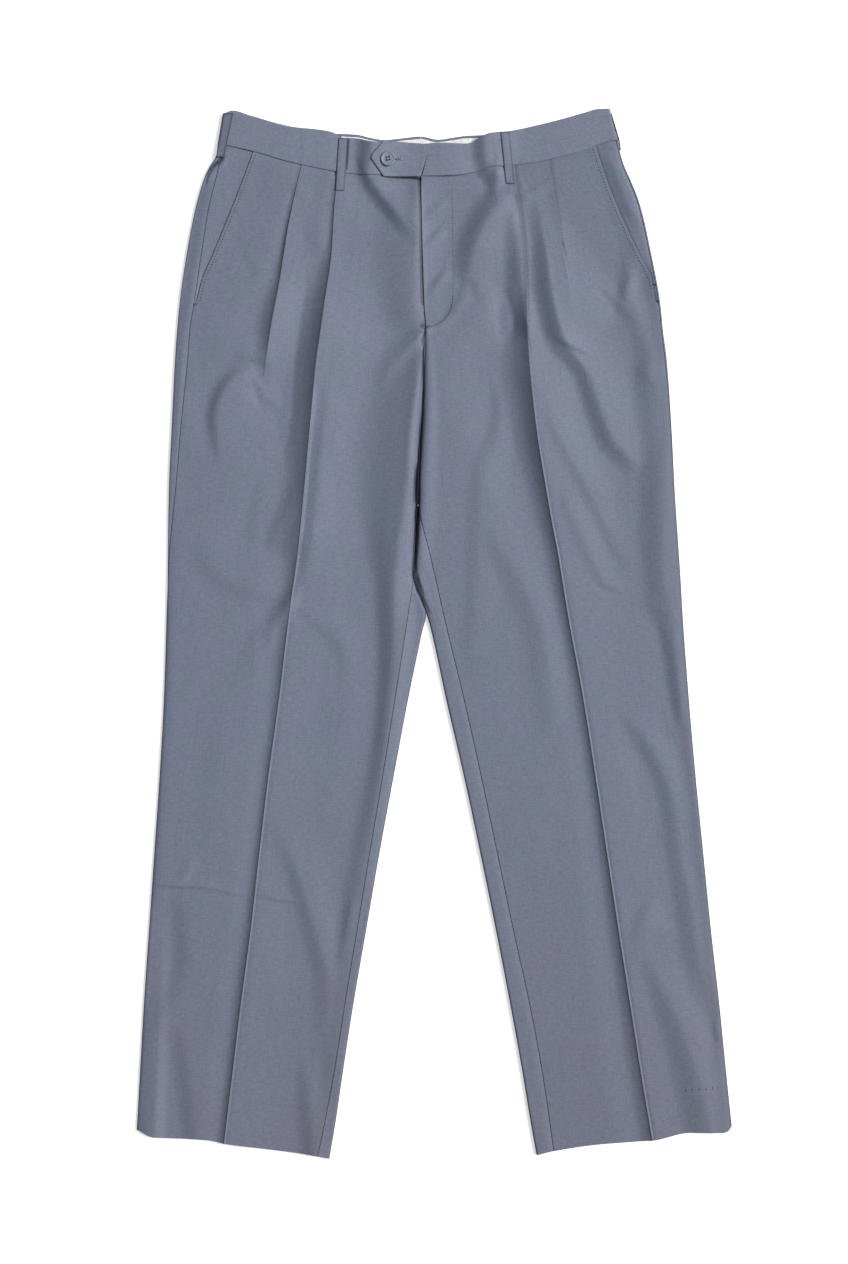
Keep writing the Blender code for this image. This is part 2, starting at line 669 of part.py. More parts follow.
def button():
    """A four-hole button with a raised rim."""
    base = TAB_TOP + GAP
    radius = BUTTON_SIZE / 2
    well = BUTTON_THICK - BUTTON_WELL
    profile = (
        (0, 0), (radius - 1.6, 0), (radius - 0.3, 0.7), (radius, 1.3), (radius - 0.4, BUTTON_THICK - 0.2),
        (radius - 1.0, BUTTON_THICK), (radius - BUTTON_RIM, BUTTON_THICK - 0.3),
        (radius - BUTTON_RIM - 0.7, well), (0, well),
    )
    mesh = bmesh.new()
    corners = [mesh.verts.new((r * MM, 0, h * MM)) for r, h in profile]
    edges = [mesh.edges.new(pair) for pair in zip(corners, corners[1:])]
    bmesh.ops.spin(mesh, geom=corners + edges, cent=(0, 0, 0), axis=(0, 0, 1), angle=math.tau,
                   steps=28, use_merge=True)
    bmesh.ops.remove_doubles(mesh, verts=mesh.verts, dist=1e-6)
    bmesh.ops.recalc_face_normals(mesh, faces=mesh.faces)
    body = add("button", mesh, POLISH)
    body.location = (BUTTON_AT[0] * MM, BUTTON_AT[1] * MM, base * MM)

    holes = bmesh.new()
    for across in (-0.5, 0.5):
        for along in (-0.5, 0.5):
            made = bmesh.ops.create_cone(holes, cap_ends=True, segments=8, radius1=HOLE_SIZE / 2 * MM,
                                         radius2=HOLE_SIZE / 2 * MM, depth=3 * BUTTON_THICK * MM)
            bmesh.ops.translate(holes, verts=made["verts"],
                                vec=(across * HOLE_SPREAD * MM, along * HOLE_SPREAD * MM, 0))
    cutter = add("button_holes", holes, POLISH)
    cutter.location = body.location
    cutter.hide_render = True
    cutter.display_type = "WIRE"
    cut = body.modifiers.new("holes", "BOOLEAN")
    cut.operation = "DIFFERENCE"
    cut.object = cutter
    return body


def clear_scene():
    for thing in list(bpy.data.objects):
        bpy.data.objects.remove(thing, do_unlink=True)


def main():
    clear_scene()
    for side in (RIGHT, LEFT):
        panel(f"front_{side.name}", side, ROW_LEVELS, front_row, side.row_y)
        panel(f"back_{side.name}", side, ROW_LEVELS, back_row, side.back_y)
        panel(f"pocket_facing_{side.name}", side, POCKET_LEVELS, facing_row, side.row_y)
    waistband(RIGHT, folds=(-220.8, -225.9), end=(2, 2))
    waistband(LEFT, folds=(185, 193.8), end=(-3, -12.2))
    waistband_tab()
    waistband_lining()
    front_loop("belt_loop_front_right", -95, 520.4, -98.3, 464.6, 9)
    front_loop("belt_loop_front_left", 74.5, 526.4, 80.2, 472, 9.6)
    side_loop(RIGHT, RIGHT_SIDE_LOOP, last=90)
    side_loop(LEFT, LEFT_SIDE_LOOP, last=150)
    button()


main()
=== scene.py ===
"""Looks of the pleated dress trousers, lying pressed and flat with the front up.

Sizes are in millimetres and become metres where a mesh is made. "Right" and "left" are the wearer's, so
right is -X. The garment lies on z = 0 with its waist at +Y. Each leg is a flattened tube: the back panel
lies on the floor and turns up round both folds, and the front panel lies on top.
"""

import math

import bmesh
import bpy
import numpy as np
from mathutils import Matrix, Vector
from mathutils.bvhtree import BVHTree


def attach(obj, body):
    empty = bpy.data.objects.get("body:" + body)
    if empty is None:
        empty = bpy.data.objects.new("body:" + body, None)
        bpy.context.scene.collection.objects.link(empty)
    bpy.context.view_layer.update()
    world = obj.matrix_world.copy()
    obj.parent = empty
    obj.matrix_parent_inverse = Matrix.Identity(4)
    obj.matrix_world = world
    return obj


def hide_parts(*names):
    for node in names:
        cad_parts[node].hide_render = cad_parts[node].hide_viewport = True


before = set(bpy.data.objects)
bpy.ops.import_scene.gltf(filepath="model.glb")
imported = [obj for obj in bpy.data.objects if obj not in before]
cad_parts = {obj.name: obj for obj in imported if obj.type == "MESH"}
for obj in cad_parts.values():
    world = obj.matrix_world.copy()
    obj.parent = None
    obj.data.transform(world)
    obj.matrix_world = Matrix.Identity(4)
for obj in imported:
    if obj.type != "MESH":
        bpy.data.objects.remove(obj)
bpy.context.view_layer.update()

MM = 0.001
BODY = "root"

# ---------------------------------------------------------------------------------------------
# Sizes
# ---------------------------------------------------------------------------------------------

CLOTH = 0.4             # thickness of the panel cloth
BAND_CLOTH = 1.0        # waistband cloth with its interfacing
GAP = 0.3               # between pieces at a seam
WAIST_GAP = 0.6
TUBE = 5.0              # floor to upper face of a flattened leg
BAND_TUBE = 5.6         # the same at the waistband
RADIUS = TUBE / 2       # of a leg's side folds
TOP = TUBE - CLOTH / 2  # middle of a front's cloth
UP, DOWN = 90.0, 270.0  # which way the cloth faces, in degrees of its way round a tube

WAIST_Y = 481.0
HIP_Y = 345.0
FORK_Y = 60.0           # where the legs part
SHIN_Y = -390.0
HEM_Y = -533.0
POCKET_Y = 347.0        # foot of the pocket openings
FLY_FOOT = 316.0        # the fly's lap ends here
MIDDLE_X = -14.0        # centre-back seam and fly at the waist


def table(columns, *rows):
    """A table as one array for each named column, with the first column rising."""
    rows = sorted(rows)
    return {name: np.array([row[i] for row in rows], float) for i, name in enumerate(columns.split())}


# How far out from the middle of the garment each line of a leg lies, at a height y.
RIGHT_LINES = table(
    "y fold_out outseam crease inner",
    (550, 218.5, 210, 96, 14),
    (515, 225.8, 219, 98.5, 14),
    (502, 228.8, 221.5, 99.5, 14),
    (492, 234.5, 225, 100, 13.9),
    (480, 240, 228, 101, 13.8),
    (450, 249, 235.5, 104.5, 13.1),
    (400, 259, 243.5, 107.5, 11.9),
    (345, 267, 251.7, 115, 10),
    (318, 269.5, 256, 118.5, 8.3),
    (290, 271.5, 258, 122.5, 9.8),
    (220, 275, 265, 129.5, 13.6),
    (155, 278, 270.5, 135.5, 16.2),
    (90, 279.3, 277, 142, 20),
    (60, 279.8, 279, 146, 21.4),
    (25, 280.5, 280.5, 151, 26.2),
    (-70, 283.5, 283.5, 162.5, 41),
    (-150, 288, 288, 173.5, 53.7),
    (-230, 293.5, 293.5, 183, 67.3),
    (-310, 299, 299, 192, 80.3),
    (-390, 304.5, 304.5, 202.5, 93.5),
    (-460, 308.5, 308.5, 211, 104.5),
    (-560, 314, 314, 223, 124),
)
LEFT_LINES = table(
    "y fold_out outseam crease inner",
    (550, 186, 184.5, 80, -14),
    (517, 193.6, 192, 82.5, -14),
    (508, 195, 193.5, 83, -14),
    (492, 199.5, 198, 84.5, -13.9),
    (480, 204.5, 203, 85.5, -13.8),
    (450, 216, 214.5, 90, -13.1),
    (400, 227.7, 226, 95.5, -11.9),
    (345, 238, 236.3, 97.5, -10),
    (318, 240.7, 239, 98, -8.3),
    (290, 244.3, 242.6, 99.6, -9.8),
    (220, 249.3, 249, 106.8, -13.6),
    (155, 252.7, 252.7, 117, -16.2),
    (134, 254, 254, 120.7, -15.6),
    (115, 255.3, 255.3, 124, -12),
    (90, 257, 257, 129, -5.5),
    (60, 259, 259, 134, 1.6),
    (25, 261, 261, 139.6, 9.4),
    (-70, 268, 268, 157, 32.2),
    (-150, 275, 275, 169.5, 50),
    (-230, 283, 283, 181.5, 66.8),
    (-310, 291, 291, 193.5, 83.5),
    (-390, 300, 300, 206, 101),
    (-460, 307, 307, 217, 114),
    (-560, 317.5, 317.5, 234, 128.5),
)
RIGHT_FORK = table(
    "y fold_in",
    (60, 21.4), (45, 16.7), (33, 12.3), (21, 8), (0, 12.5), (-70, 27), (-150, 42), (-230, 56.8),
    (-310, 70.6), (-390, 84.4), (-460, 95.2), (-510, 102.5), (-560, 111),
)
LEFT_FORK = table(
    "y fold_in",
    (156, -16.2), (117, -18.1), (90, -20), (60, -21.4), (45, -16.7), (33, -12.1), (21, -7.7), (0, -2.2),
    (-70, 13), (-150, 31.5), (-230, 48.5), (-310, 64.8), (-390, 80.2), (-460, 92.8), (-510, 101),
    (-560, 110),
)
RIGHT_HEM = table(
    "out y",
    (312, -520), (294, -528), (239, -531), (220, -534.5), (155, -543), (122, -548), (108, -551),
)
LEFT_HEM = table(
    "out y",
    (314, -515), (306, -523), (270, -523), (230, -531), (173, -535.5), (126, -542.5), (107, -547),
)
RIGHT_POCKET = table(
    "y mouth",
    (530, 181), (510, 188), (480, 199), (450, 210.5), (400, 231), (370, 243.5), (340, 251),
)
LEFT_POCKET = table(
    "y mouth",
    (530, 164), (510, 170), (480, 180), (450, 191.6), (400, 214.5), (370, 229.5), (340, 237),
)
RIGHT_PLEAT = table(
    "y edge",
    (500, 137), (480, 141.7), (450, 148.4), (425, 153.4), (400, 157.3), (370, 162), (320, 171),
    (285, 176), (200, 185), (0, 204), (-250, 232), (-560, 264),
)
LEFT_PLEAT = table(
    "y edge",
    (510, 119.5), (480, 123), (450, 128), (425, 132), (400, 135.5), (370, 140.7), (320, 148),
    (285, 154), (200, 167), (0, 196), (-250, 232), (-560, 270),
)
# depth: cloth folded under. open: 1 is a flat Z fold, 0 is flat cloth.
OUTER_PLEAT_FOLD = table(
    "y depth open",
    (520, 14, 1), (481, 13, 1), (425, 9, 1), (366, 4, 0.9), (347, 3, 0.7), (316, 2.2, 0.3), (285, 2.2, 0.05),
    (250, 2.2, 0), (-560, 2.2, 0),
)
LEFT_OUTER_PLEAT_FOLD = table(
    "y depth open",
    (520, 14, 1), (481, 13, 1), (440, 9, 1), (412, 6, 0.6), (390, 4, 0.2), (366, 3, 0.06), (340, 2.2, 0.02),
    (316, 2.2, 0), (-560, 2.2, 0),
)
INNER_PLEAT_FOLD = table(
    "y depth open",
    (520, 16, 1), (481, 15, 1), (425, 11, 1), (366, 5, 0.9), (347, 3.4, 0.7), (316, 2.4, 0.4),
    (285, 2.2, 0.15), (250, 2.2, 0), (-560, 2.2, 0),
)
# How far the cloth dives to pass under a pleat, how far the pleat's top layer stands over it, and the
# width over which it dives.
PLEAT_STEP = {"right": (0.4, 0.3, 6.0), "left": (0.9, 0, 2.4)}
TURN = 0.24             # radius of a pleat's turns, on the middle of the cloth

# lap: how far a front's inner edge is lifted over the other one. under: how far the right front runs on.
LAPS = table(
    "y left_lap right_lap under",
    (520, 1.5, 0, 6), (333, 1.5, 0, 5), (316, 1.2, 0.2, 1), (302, 0.7, 0.7, 0), (285, 0, 1.3, 0),
    (90, 0, 1.3, 0), (72, 0, 0.6, 0), (60, 0, 0, 0), (-560, 0, 0, 0),
)

# Heights along y of the waist, at x across the whole garment. seam is the waistband's lower edge.
WAIST = table(
    "x seam front_top back_top",
    (-231, 515.5, 541.8, 541), (-222, 513.5, 545, 544.2), (-211, 511, 549, 548.2),
    (-193, 507, 544, 543.2), (-151, 495, 532.5, 531.7), (-105, 485.3, 526, 525.4),
    (-99, 484.3, 521, 525.2), (-81, 482.3, 520, 524.3), (-67, 481.3, 516.3, 521),
    (-52, 480.8, 515, 518.7), (-33, 480.4, 515, 520.5), (-14, 480.1, 514, 522.4),
    (4, 480.3, 515, 519), (21, 480.8, 514.7, 521.3), (33, 482.4, 514.3, 523),
    (41, 484.1, 516, 523.4), (49, 486.2, 520.8, 523.7), (59, 489.8, 525, 524.4),
    (77, 490.9, 527, 526.3), (108, 495, 533.5, 532.8), (133, 500.5, 539.7, 539),
    (159, 507.5, 547, 546.3), (172, 513, 550.6, 549.9), (184, 516.8, 551, 550.2),
    (191, 517.6, 546, 545), (200, 518.7, 542, 541),
)
BAND_LAP = 1.9          # lift of the left waistband where it runs up on the right one,
BAND_LAP_X = (20, 56)   # and the stretch in which it comes down
TAB_WALL = 1.6          # tab with its turnings
TAB_TOP = BAND_TUBE + GAP + TAB_WALL
TAB_LEFT = table("y x", (479.4, -52.5), (499.8, -67), (516.6, -52.3))
TAB_RIGHT = table("y x", (479.4, -13.4), (480.9, -13), (513.8, -3.6), (516.6, -2.8))
TAB_UPPER = table("x y", (-67, 516.6), (-52.3, 516.6), (-33.4, 515.6), (-11.3, 513.9), (-3.6, 513.8))
TAB_LOWER = table("x y", (-67, 479.4), (-52.5, 479.4), (-16, 479.7), (-13, 480.9))

BUTTON_SIZE = 15.4
BUTTON_AT = (-48.1, 497.7)
BUTTON_THICK = 2.6
BUTTON_STANDS = 0.5     # over the tab, on its thread
BUTTON_TURN = math.radians(12)
HOLE_SIZE = 2.0
HOLE_SPREAD = 3.0       # between the middles of two holes

# ---------------------------------------------------------------------------------------------
# Folds and creases. Each is a line of points on its crest, as x, y, height, and the fold's reach to the
# right and to the left of someone who walks along the line. The number before them is 0 for a round
# fold and 1 for a creased one. A height below 0 is a trough.
# ---------------------------------------------------------------------------------------------

FOLDS = (
    ("right: inner ridge beside the rise", 0.3, (
        (-12, 306, 0, 18, 3), (-14.5, 285, 2.6, 32, 4), (-17, 264, 5.2, 44, 5), (-21, 240, 7, 50, 7),
        (-25, 212, 8, 52, 9), (-29, 162, 8.4, 50, 11), (-34, 120, 8, 42, 13), (-38, 90, 7, 32, 14),
        (-41, 49, 6, 22, 15), (-42, -6, 5, 18, 14), (-45, -48, 4, 16, 13), (-51, -111, 3, 15, 12),
        (-62, -174, 2.2, 16, 12), (-76, -240, 1.8, 16, 12), (-88, -300, 1.4, 13, 10),
        (-97, -352, 0, 10, 10),
    )),
    ("right: hollow beside the fly", 0.1, (
        (-24, 474, 0, 20, 12), (-22, 452, 2.2, 34, 11), (-21.5, 414, 3.2, 42, 10),
        (-21.5, 377, 3.6, 42, 10), (-21, 345, 3.2, 34, 9), (-18, 321, 1, 21, 7), (-13, 311, 0, 13, 6),
    )),
    ("right: drag from the waistband", 0.4, (
        (-72, 486, 1.8, 9, 13), (-60, 468, 4.4, 12, 16), (-46, 450, 4.4, 12, 16), (-33, 434, 3, 12, 14),
        (-22, 414, 0, 9, 10),
    )),
    ("right: drag from the fly's foot", 0.5, (
        (-11, 317, 2, 10, 6), (-24, 303, 2.8, 15, 6), (-37, 290, 2.6, 18, 7), (-50, 274, 1.6, 16, 8),
        (-58, 254, 0, 12, 8),
    )),
    ("right: arc on the hip", 0.45, (
        (-180, 279, 0, 6, 14), (-192, 278, 1.4, 7, 24), (-204, 273, 2.4, 8, 32), (-213, 266, 3.3, 9, 34),
        (-220, 256, 3.8, 10, 32), (-225, 243, 3.8, 11, 28), (-229, 225, 3.2, 10, 24),
        (-227, 204, 1.8, 9, 20), (-222, 180, 0, 8, 16),
    )),
    ("right: top of the arc", 0.5, (
        (-206, 287, 0, 7, 12), (-194, 290, 1.6, 8, 16), (-181, 288, 1.6, 8, 16), (-168, 282, 0, 6, 10),
    )),
    ("right: small arc", 0.3, (
        (-187, 271, 0, 6, 8), (-181, 255, 0.9, 8, 10), (-168, 243, 0.9, 8, 10), (-153, 238, 0, 7, 8),
    )),
    ("right: crumple above the pocket's foot", 0.3, (
        (-222, 407, 0, 5, 5), (-208, 408, -0.45, 6, 6), (-191, 407, 0, 5, 5),
    )),
    ("right: crumple on the hip", 0.3, (
        (-203, 395, 0, 6, 6), (-195, 386, -0.5, 7, 7), (-185, 374, 0, 6, 6),
    )),
    ("right: pull under the pleat", 0.3, (
        (-155, 470, 0, 6, 6), (-143, 466, 0.5, 7, 7), (-128, 457, 0, 6, 6),
    )),
    ("right: slope between the pleats", 0.1, (
        (-136, 450, 0, 15, 17), (-122, 422, 0.9, 17, 17), (-113, 397, 0.6, 15, 10),
        (-109, 372, 0, 13, 10),
    )),
    ("right: knee drag", 0.15, (
        (-250, 99, 0, 10, 15), (-231, 69, 1.2, 15, 17), (-210, 54, 1.1, 15, 17), (-182, 46, 1.3, 13, 15),
        (-153, 37, 0, 8, 10),
    )),
    ("right: knee drag below", 0.15, (
        (-170, 15, 0, 8, 10), (-180, 0, 0.9, 13, 13), (-189, -23, 0.6, 13, 13), (-195, -48, 0, 10, 10),
    )),
    ("right: thigh ridge", 0.1, (
        (-174, 172, 0, 10, 13), (-180, 136, 0.7, 13, 15), (-187, 103, 0.6, 13, 13), (-180, 78, 0, 10, 10),
    )),
    ("right: branch of the crease", 0.3, (
        (-146, 150, 0.2, 9, 8), (-153, 130, 0.8, 11, 8), (-162, 112, 1.2, 12, 8), (-168, 98, 0.8, 11, 8),
        (-170, 84, 0, 8, 8),
    )),
    ("right: dip beside the crease", 0.2, (
        (-121, 266, 0, 2, 11), (-124, 236, -1.4, 1.8, 12), (-128, 204, -1.9, 1.8, 12),
        (-131.5, 166, -1.9, 1.8, 11), (-134.5, 134, -1.9, 1.8, 11), (-137.5, 102, -1.8, 1.8, 10),
        (-141, 76, -1.4, 2, 9), (-144, 54, 0, 2, 8),
    )),
    ("right: knot in the crease", 0.4, (
        (-146, 42, 1.2, 9, 6), (-153, 31, 3.2, 13, 8), (-160, 20, 3, 14, 9), (-168, 6, 1.8, 13, 9),
        (-174, -18, 0, 10, 8),
    )),
    ("right: drag inside the knee", 0.15, (
        (-143, 29, 0, 9, 13), (-119, 13, 0.9, 12, 15), (-98, -8, 0.9, 13, 15), (-86, -46, 0, 10, 13),
    )),
    ("right: shin drag", 0.3, (
        (-166, -197, 0, 10, 15), (-154, -222, 1, 13, 19), (-141, -252, 1.8, 15, 21),
        (-130, -290, 2.2, 15, 21), (-118, -330, 2.2, 16, 18), (-110, -370, 1.8, 17, 16),
        (-112, -420, 1, 17, 16), (-116, -460, 0, 14, 14),
    )),
    ("right: beside the inseam", 0.3, (
        (-85, -274, 0, 6, 6), (-88, -295, 1, 7, 6), (-94, -332, 0.8, 7, 6), (-98, -353, 0, 6, 6),
    )),
    ("right: cross crease", 0.9, (
        (-294, -263, 0.5, 3, 6), (-272, -264, 1.2, 3.4, 9), (-245, -265, 1, 3.4, 9),
        (-222, -269, 0.6, 3.4, 8), (-205, -273, 0.5, 3, 7), (-190, -274, 0, 3, 6),
    )),
    ("right: cross crease inside", 0.9, (
        (-184, -274, 0.4, 3, 6), (-172, -276, 0.8, 3.4, 9), (-155, -279, 0.7, 3.4, 8),
        (-138, -282, 0, 3, 6),
    )),
    ("left: hem crumple", 0.8, (
        (158, -491, 0, 3, 4), (172, -489, 0.6, 4, 5), (192, -487, 0.5, 4, 5), (216, -486, 0, 3, 4),
    )),
    ("right: above the cross crease", 0.4, (
        (-266, -262, 0.5, 6, 8), (-256, -246, 1.2, 6, 8), (-244, -235, 0, 6, 8),
    )),
    ("right: outer hem ridge", 0.3, (
        (-284, -290, 0, 10, 6), (-285, -340, 0.7, 12, 6), (-286.5, -380, 1, 14, 6),
        (-289, -430, 1.5, 16, 7), (-290.5, -470, 1.8, 17, 7), (-292, -510, 2, 18, 7),
        (-294, -545, 1.8, 18, 7),
    )),
    ("right: outer hollow", 0.1, (
        (-279, -268, 0, 15, 16), (-277, -300, -1.7, 21, 18), (-275, -342, -2, 22, 18),
        (-283, -372, -1.6, 19, 16), (-296, -396, -0.8, 14, 13), (-302, -408, 0, 10, 10),
    )),
    ("right: hem hollow", 0.1, (
        (-279, -410, 0, 12, 14), (-276, -439, -1.6, 20, 17), (-272, -474, -2.1, 22, 17),
        (-268, -505, -2, 22, 16), (-264, -536, -1.5, 20, 16),
    )),
    ("right: hem ridge", 0.2, (
        (-136, -440, 0, 10, 12), (-131, -474, 1.6, 14, 13), (-128, -510, 2.2, 15, 12),
        (-127, -545, 1.8, 15, 11),
    )),
    ("right: shin sheen", 0.1, (
        (-216, -69, 0, 21, 21), (-222, -132, 0.7, 23, 23), (-231, -206, 0.5, 23, 21),
        (-237, -258, 0, 21, 19),
    )),
    ("left: drag from the belt loop", 0.3, (
        (82, 462, 1.6, 11, 15), (70, 453, 5, 17, 21), (57, 436, 6.6, 20, 25), (46, 413, 6.2, 21, 25),
        (39, 391, 4, 18, 21), (35, 366, 0, 11, 15),
    )),
    ("left: knot under the waistband", 0.4, (
        (66, 489, 1, 8, 7), (67, 479, 2.6, 10, 7), (64, 466, 1.6, 9, 6), (58, 456, 0, 7, 6),
    )),
    ("left: curl under the belt loop", 0.7, (
        (74, 466, 0.6, 5, 6), (61, 460, 0.9, 5, 6), (46, 458, 0.6, 5, 6), (38, 452, 0, 5, 5),
    )),
    ("left: crumple beside the fly", 0.15, (
        (38, 376, 0, 8, 10), (46, 366, 0.9, 9, 10), (53, 351, 0.4, 8, 10), (57, 338, 0, 8, 8),
    )),
    ("left: fly crumple", 0.6, (
        (14, 425, 0, 5, 5), (3, 418, 1.9, 5, 7), (-8, 407, 0.9, 4, 5),
    )),
    ("left: second fly crumple", 0.5, (
        (17, 386, 0, 5, 5), (8, 374, 1.7, 5, 7), (-2, 360, 1, 5, 6), (-7, 350, 0, 4, 5),
    )),
    ("left: third fly crumple", 0.6, (
        (16, 456, 0, 4, 5), (6, 450, 1.5, 4, 6), (-6, 441, 0.9, 4, 5),
    )),
    ("left: pull of the fly stitching", 0.5, (
        (23, 352, 0, 4, 6), (20, 340, 1, 5, 7), (11, 327, 1.3, 5, 8), (-2, 318, 0.6, 4, 6),
        (-7, 315, 0, 4, 5),
    )),
    ("left: pull beside the fly stitching", 0.4, (
        (36, 372, 0, 5, 6), (30, 355, 1, 6, 8), (26, 343, 0.8, 6, 8), (22, 334, 0, 5, 6),
    )),
    ("left: ridge between the pleats", 0.4, (
        (108, 458, 0, 8, 15), (112, 432, 2, 12, 20), (117, 405, 5, 15, 26), (120.5, 378, 7.4, 18, 34),
        (125, 350, 9.2, 20, 42), (131, 326, 8.8, 20, 42), (138, 306, 6.6, 18, 34), (148, 292, 5, 15, 28),
        (159, 277, 4.4, 15, 26), (168, 255, 4.8, 16, 26), (176, 232, 5, 17, 26), (188, 204, 4.6, 17, 24),
        (202, 187, 3.2, 14, 20), (216, 174, 0, 12, 15),
    )),
    ("left: sharp crease on the hip", 0.8, (
        (126, 312, 0.3, 5, 6), (143, 303, 1.8, 5, 7), (158, 297, 1.2, 5, 6), (170, 294, 0, 4, 5),
    )),
    ("left: pocket hollow", 0.2, (
        (212, 414, 0, 10, 10), (208, 391, 1.2, 15, 10), (204, 363, 1.8, 13, 9), (206, 351, 1.8, 13, 9),
        (214, 324, 1.4, 13, 10), (222, 298, 1.3, 13, 10), (226, 275, 1.4, 15, 13),
    )),
    ("left: back of the pocket hollow", 0.3, (
        (193, 346, 0.4, 8, 8), (200, 357, 0.6, 8, 8), (210, 370, 0, 7, 7),
    )),
    ("left: outer thigh ridge", 0.2, (
        (225, 275, 1.6, 17, 13), (229, 251, 2.2, 19, 14), (233, 214, 2, 19, 14), (238, 186, 2.6, 21, 13),
        (239, 141, 3.4, 24, 13), (240, 93, 3.4, 24, 13), (242, 51, 3.2, 23, 12), (249, 23, 2.4, 18, 10),
        (252, -6, 2.2, 13, 9), (255, -43, 2.4, 12, 8), (259, -75, 2.2, 10, 7), (261, -99, 0, 8, 6),
    )),
    ("left: crease on the outer knee", 0.8, (
        (227, 32, 0.3, 5, 5), (240, 24, 1, 5, 6), (251, 16, 0.4, 4, 5),
    )),
    ("left: fork of the outer knee", 0.4, (
        (217, 36, 0, 7, 8), (232, 23, 0.8, 8, 8), (242, 6, 1, 8, 8), (246, -17, 0.4, 8, 8),
    )),
    ("left: shin ridge", 0.2, (
        (198, -80, 0, 10, 13), (214, -98, 1.4, 13, 15), (232, -126, 2.3, 15, 14),
        (250, -170, 2.2, 16, 13), (258, -227, 1.8, 16, 12), (268, -279, 2, 18, 10),
        (278, -342, 1.8, 18, 9), (290, -400, 0, 12, 8),
    )),
    ("left: hem ridge", 0.15, (
        (222, -330, 0, 12, 15), (240, -366, 2, 18, 22), (262, -416, 3.4, 24, 24), (280, -474, 4, 27, 22),
        (290, -520, 3.6, 27, 20),
    )),
    ("left: knot in the crease", 0.3, (
        (236, -279, 0, 8, 12), (225, -291, 1.2, 11, 24), (219, -302, 1.5, 11, 26),
        (213, -314, 0.7, 9, 18), (209, -326, 0, 8, 12),
    )),
    ("left: crease on the outer shin", 0.7, (
        (280, -250, 0.2, 4, 4), (287, -254, 0.5, 4, 4), (294, -258, 0, 4, 4),
    )),
    ("left: ankle dent", 0.5, (
        (299, -402, 0, 5, 2), (299, -414, 1.8, 7, 2), (301, -424, 1.4, 6, 2), (303, -432, 0, 4, 2),
    )),
    ("left: thigh ridge beside the rise", 0.15, (
        (66, 265, 0, 8, 13), (70, 235, 1.1, 10, 15), (67, 208, 1.2, 12, 15), (53, 172, 1.2, 15, 17),
        (49, 141, 1.3, 15, 19), (47, 88, 1.1, 15, 19), (45, 25, 0.9, 14, 17), (38, -43, 0, 10, 13),
    )),
    ("left: thigh ridge", 0.2, (
        (57, 118, 0, 10, 13), (70, 93, 1.1, 15, 15), (92, 51, 1.4, 18, 17), (115, -1, 1.5, 21, 15),
        (120, -59, 1, 19, 13), (122, -111, 0, 13, 10),
    )),
    ("left: long drag outside the crease", 0.2, (
        (114, 248, 0, 9, 12), (128, 216, 0.8, 10, 15), (148, 181, 1, 11, 16), (168, 141, 1, 11, 15),
        (189, 99, 0.8, 10, 14), (208, 63, 0, 9, 12),
    )),
    ("left: second long drag", 0.2, (
        (133, 155, 0, 8, 10), (145, 128, 0.8, 11, 12), (160, 93, 0.9, 11, 12), (173, 66, 0.7, 9, 10),
        (187, 50, 0.4, 7, 9), (206, 46, 0, 5, 7),
    )),
    ("left: knee crease", 0.9, (
        (172, 56, 0.2, 4, 4), (181, 51, 0.8, 4, 5), (193, 49, 0.7, 4, 5), (206, 47, 0, 3, 4),
    )),
    ("left: inner knee line", 0.9, (
        (42, -37, 0, 3, 5), (57, -29, 0.35, 3, 6), (74, -21, 0.35, 3, 6), (91, -15, 0, 3, 5),
    )),
    ("left: shin shade", 0.1, (
        (172, -171, 0.4, 6, 8), (193, -158, 0.5, 7, 8), (218, -143, 0, 7, 8),
    )),
    ("left: pull under the pleats", 0.8, (
        (125, 476, 0, 4, 4), (117, 471, 0.9, 6, 6), (104, 464, 1.5, 7, 7), (91, 457, 0.8, 6, 6),
        (84, 452, 0, 4, 4),
    )),
    ("left: facing crumple", 0.4, (
        (196, 450, 0, 5, 5), (206, 444, 0.7, 6, 6), (217, 438, 0.4, 6, 6),
    )),
    ("left: waistband dip", 0.2, (
        (54, 533, 4.2, 14, 24), (54, 508, 4.4, 14, 24), (57, 491, 3.6, 13, 20), (61, 475, 1.6, 10, 12),
        (63, 460, 0, 8, 8),
    )),
    ("right: waistband dip", 0.25, (
        (-65, 530, 5.2, 16, 24), (-66, 502, 5.2, 15, 24), (-68, 488, 3.4, 14, 20),
        (-68, 472, 0.8, 12, 13), (-65, 462, 0, 10, 10),
    )),
    ("left: fold before the inner pleat", 0.45, (
        (83, 450, 0, 7, 12), (86, 424, 2.2, 12, 16), (89.5, 396, 4.2, 15, 20), (92, 368, 5.4, 17, 22),
        (94, 344, 4.6, 17, 22), (97, 324, 2.2, 12, 16), (99.5, 308, 0, 8, 8),
    )),
    ("right: pull beside the fly", 0.2, (
        (-15, 476, 0.6, 10, 2), (-15, 458, 1.6, 14, 2), (-15, 436, 1.8, 16, 2), (-14, 414, 1, 14, 2),
        (-14, 395, 0, 10, 2),
    )),
    ("left: dip beside the fold before the pleat", 0.1, (
        (70, 372, 0, 9, 9), (74, 348, -1.4, 11, 10), (78, 322, -1.6, 12, 10), (82, 300, 0, 10, 9),
    )),
    ("left: side fold under the waistband", 0.2, (
        (176, 512, 0, 8, 9), (186, 494, 1.2, 10, 12), (196, 470, 1.4, 11, 14), (206, 446, 1.2, 11, 12),
        (214, 420, 0, 9, 9),
    )),
    ("left: crossing crease", 0.8, (
        (176, 366, 0, 4, 5), (186, 353, 0.9, 4, 6), (196, 343, 1.1, 5, 6), (206, 331, 0, 4, 5),
    )),
    ("left: second crossing crease", 0.7, (
        (208, 392, 0, 4, 6), (203, 368, 1, 5, 7), (198, 348, 1.2, 5, 7), (191, 328, 0, 4, 5),
    )),
    ("right: slit under the tab", 0.2, (
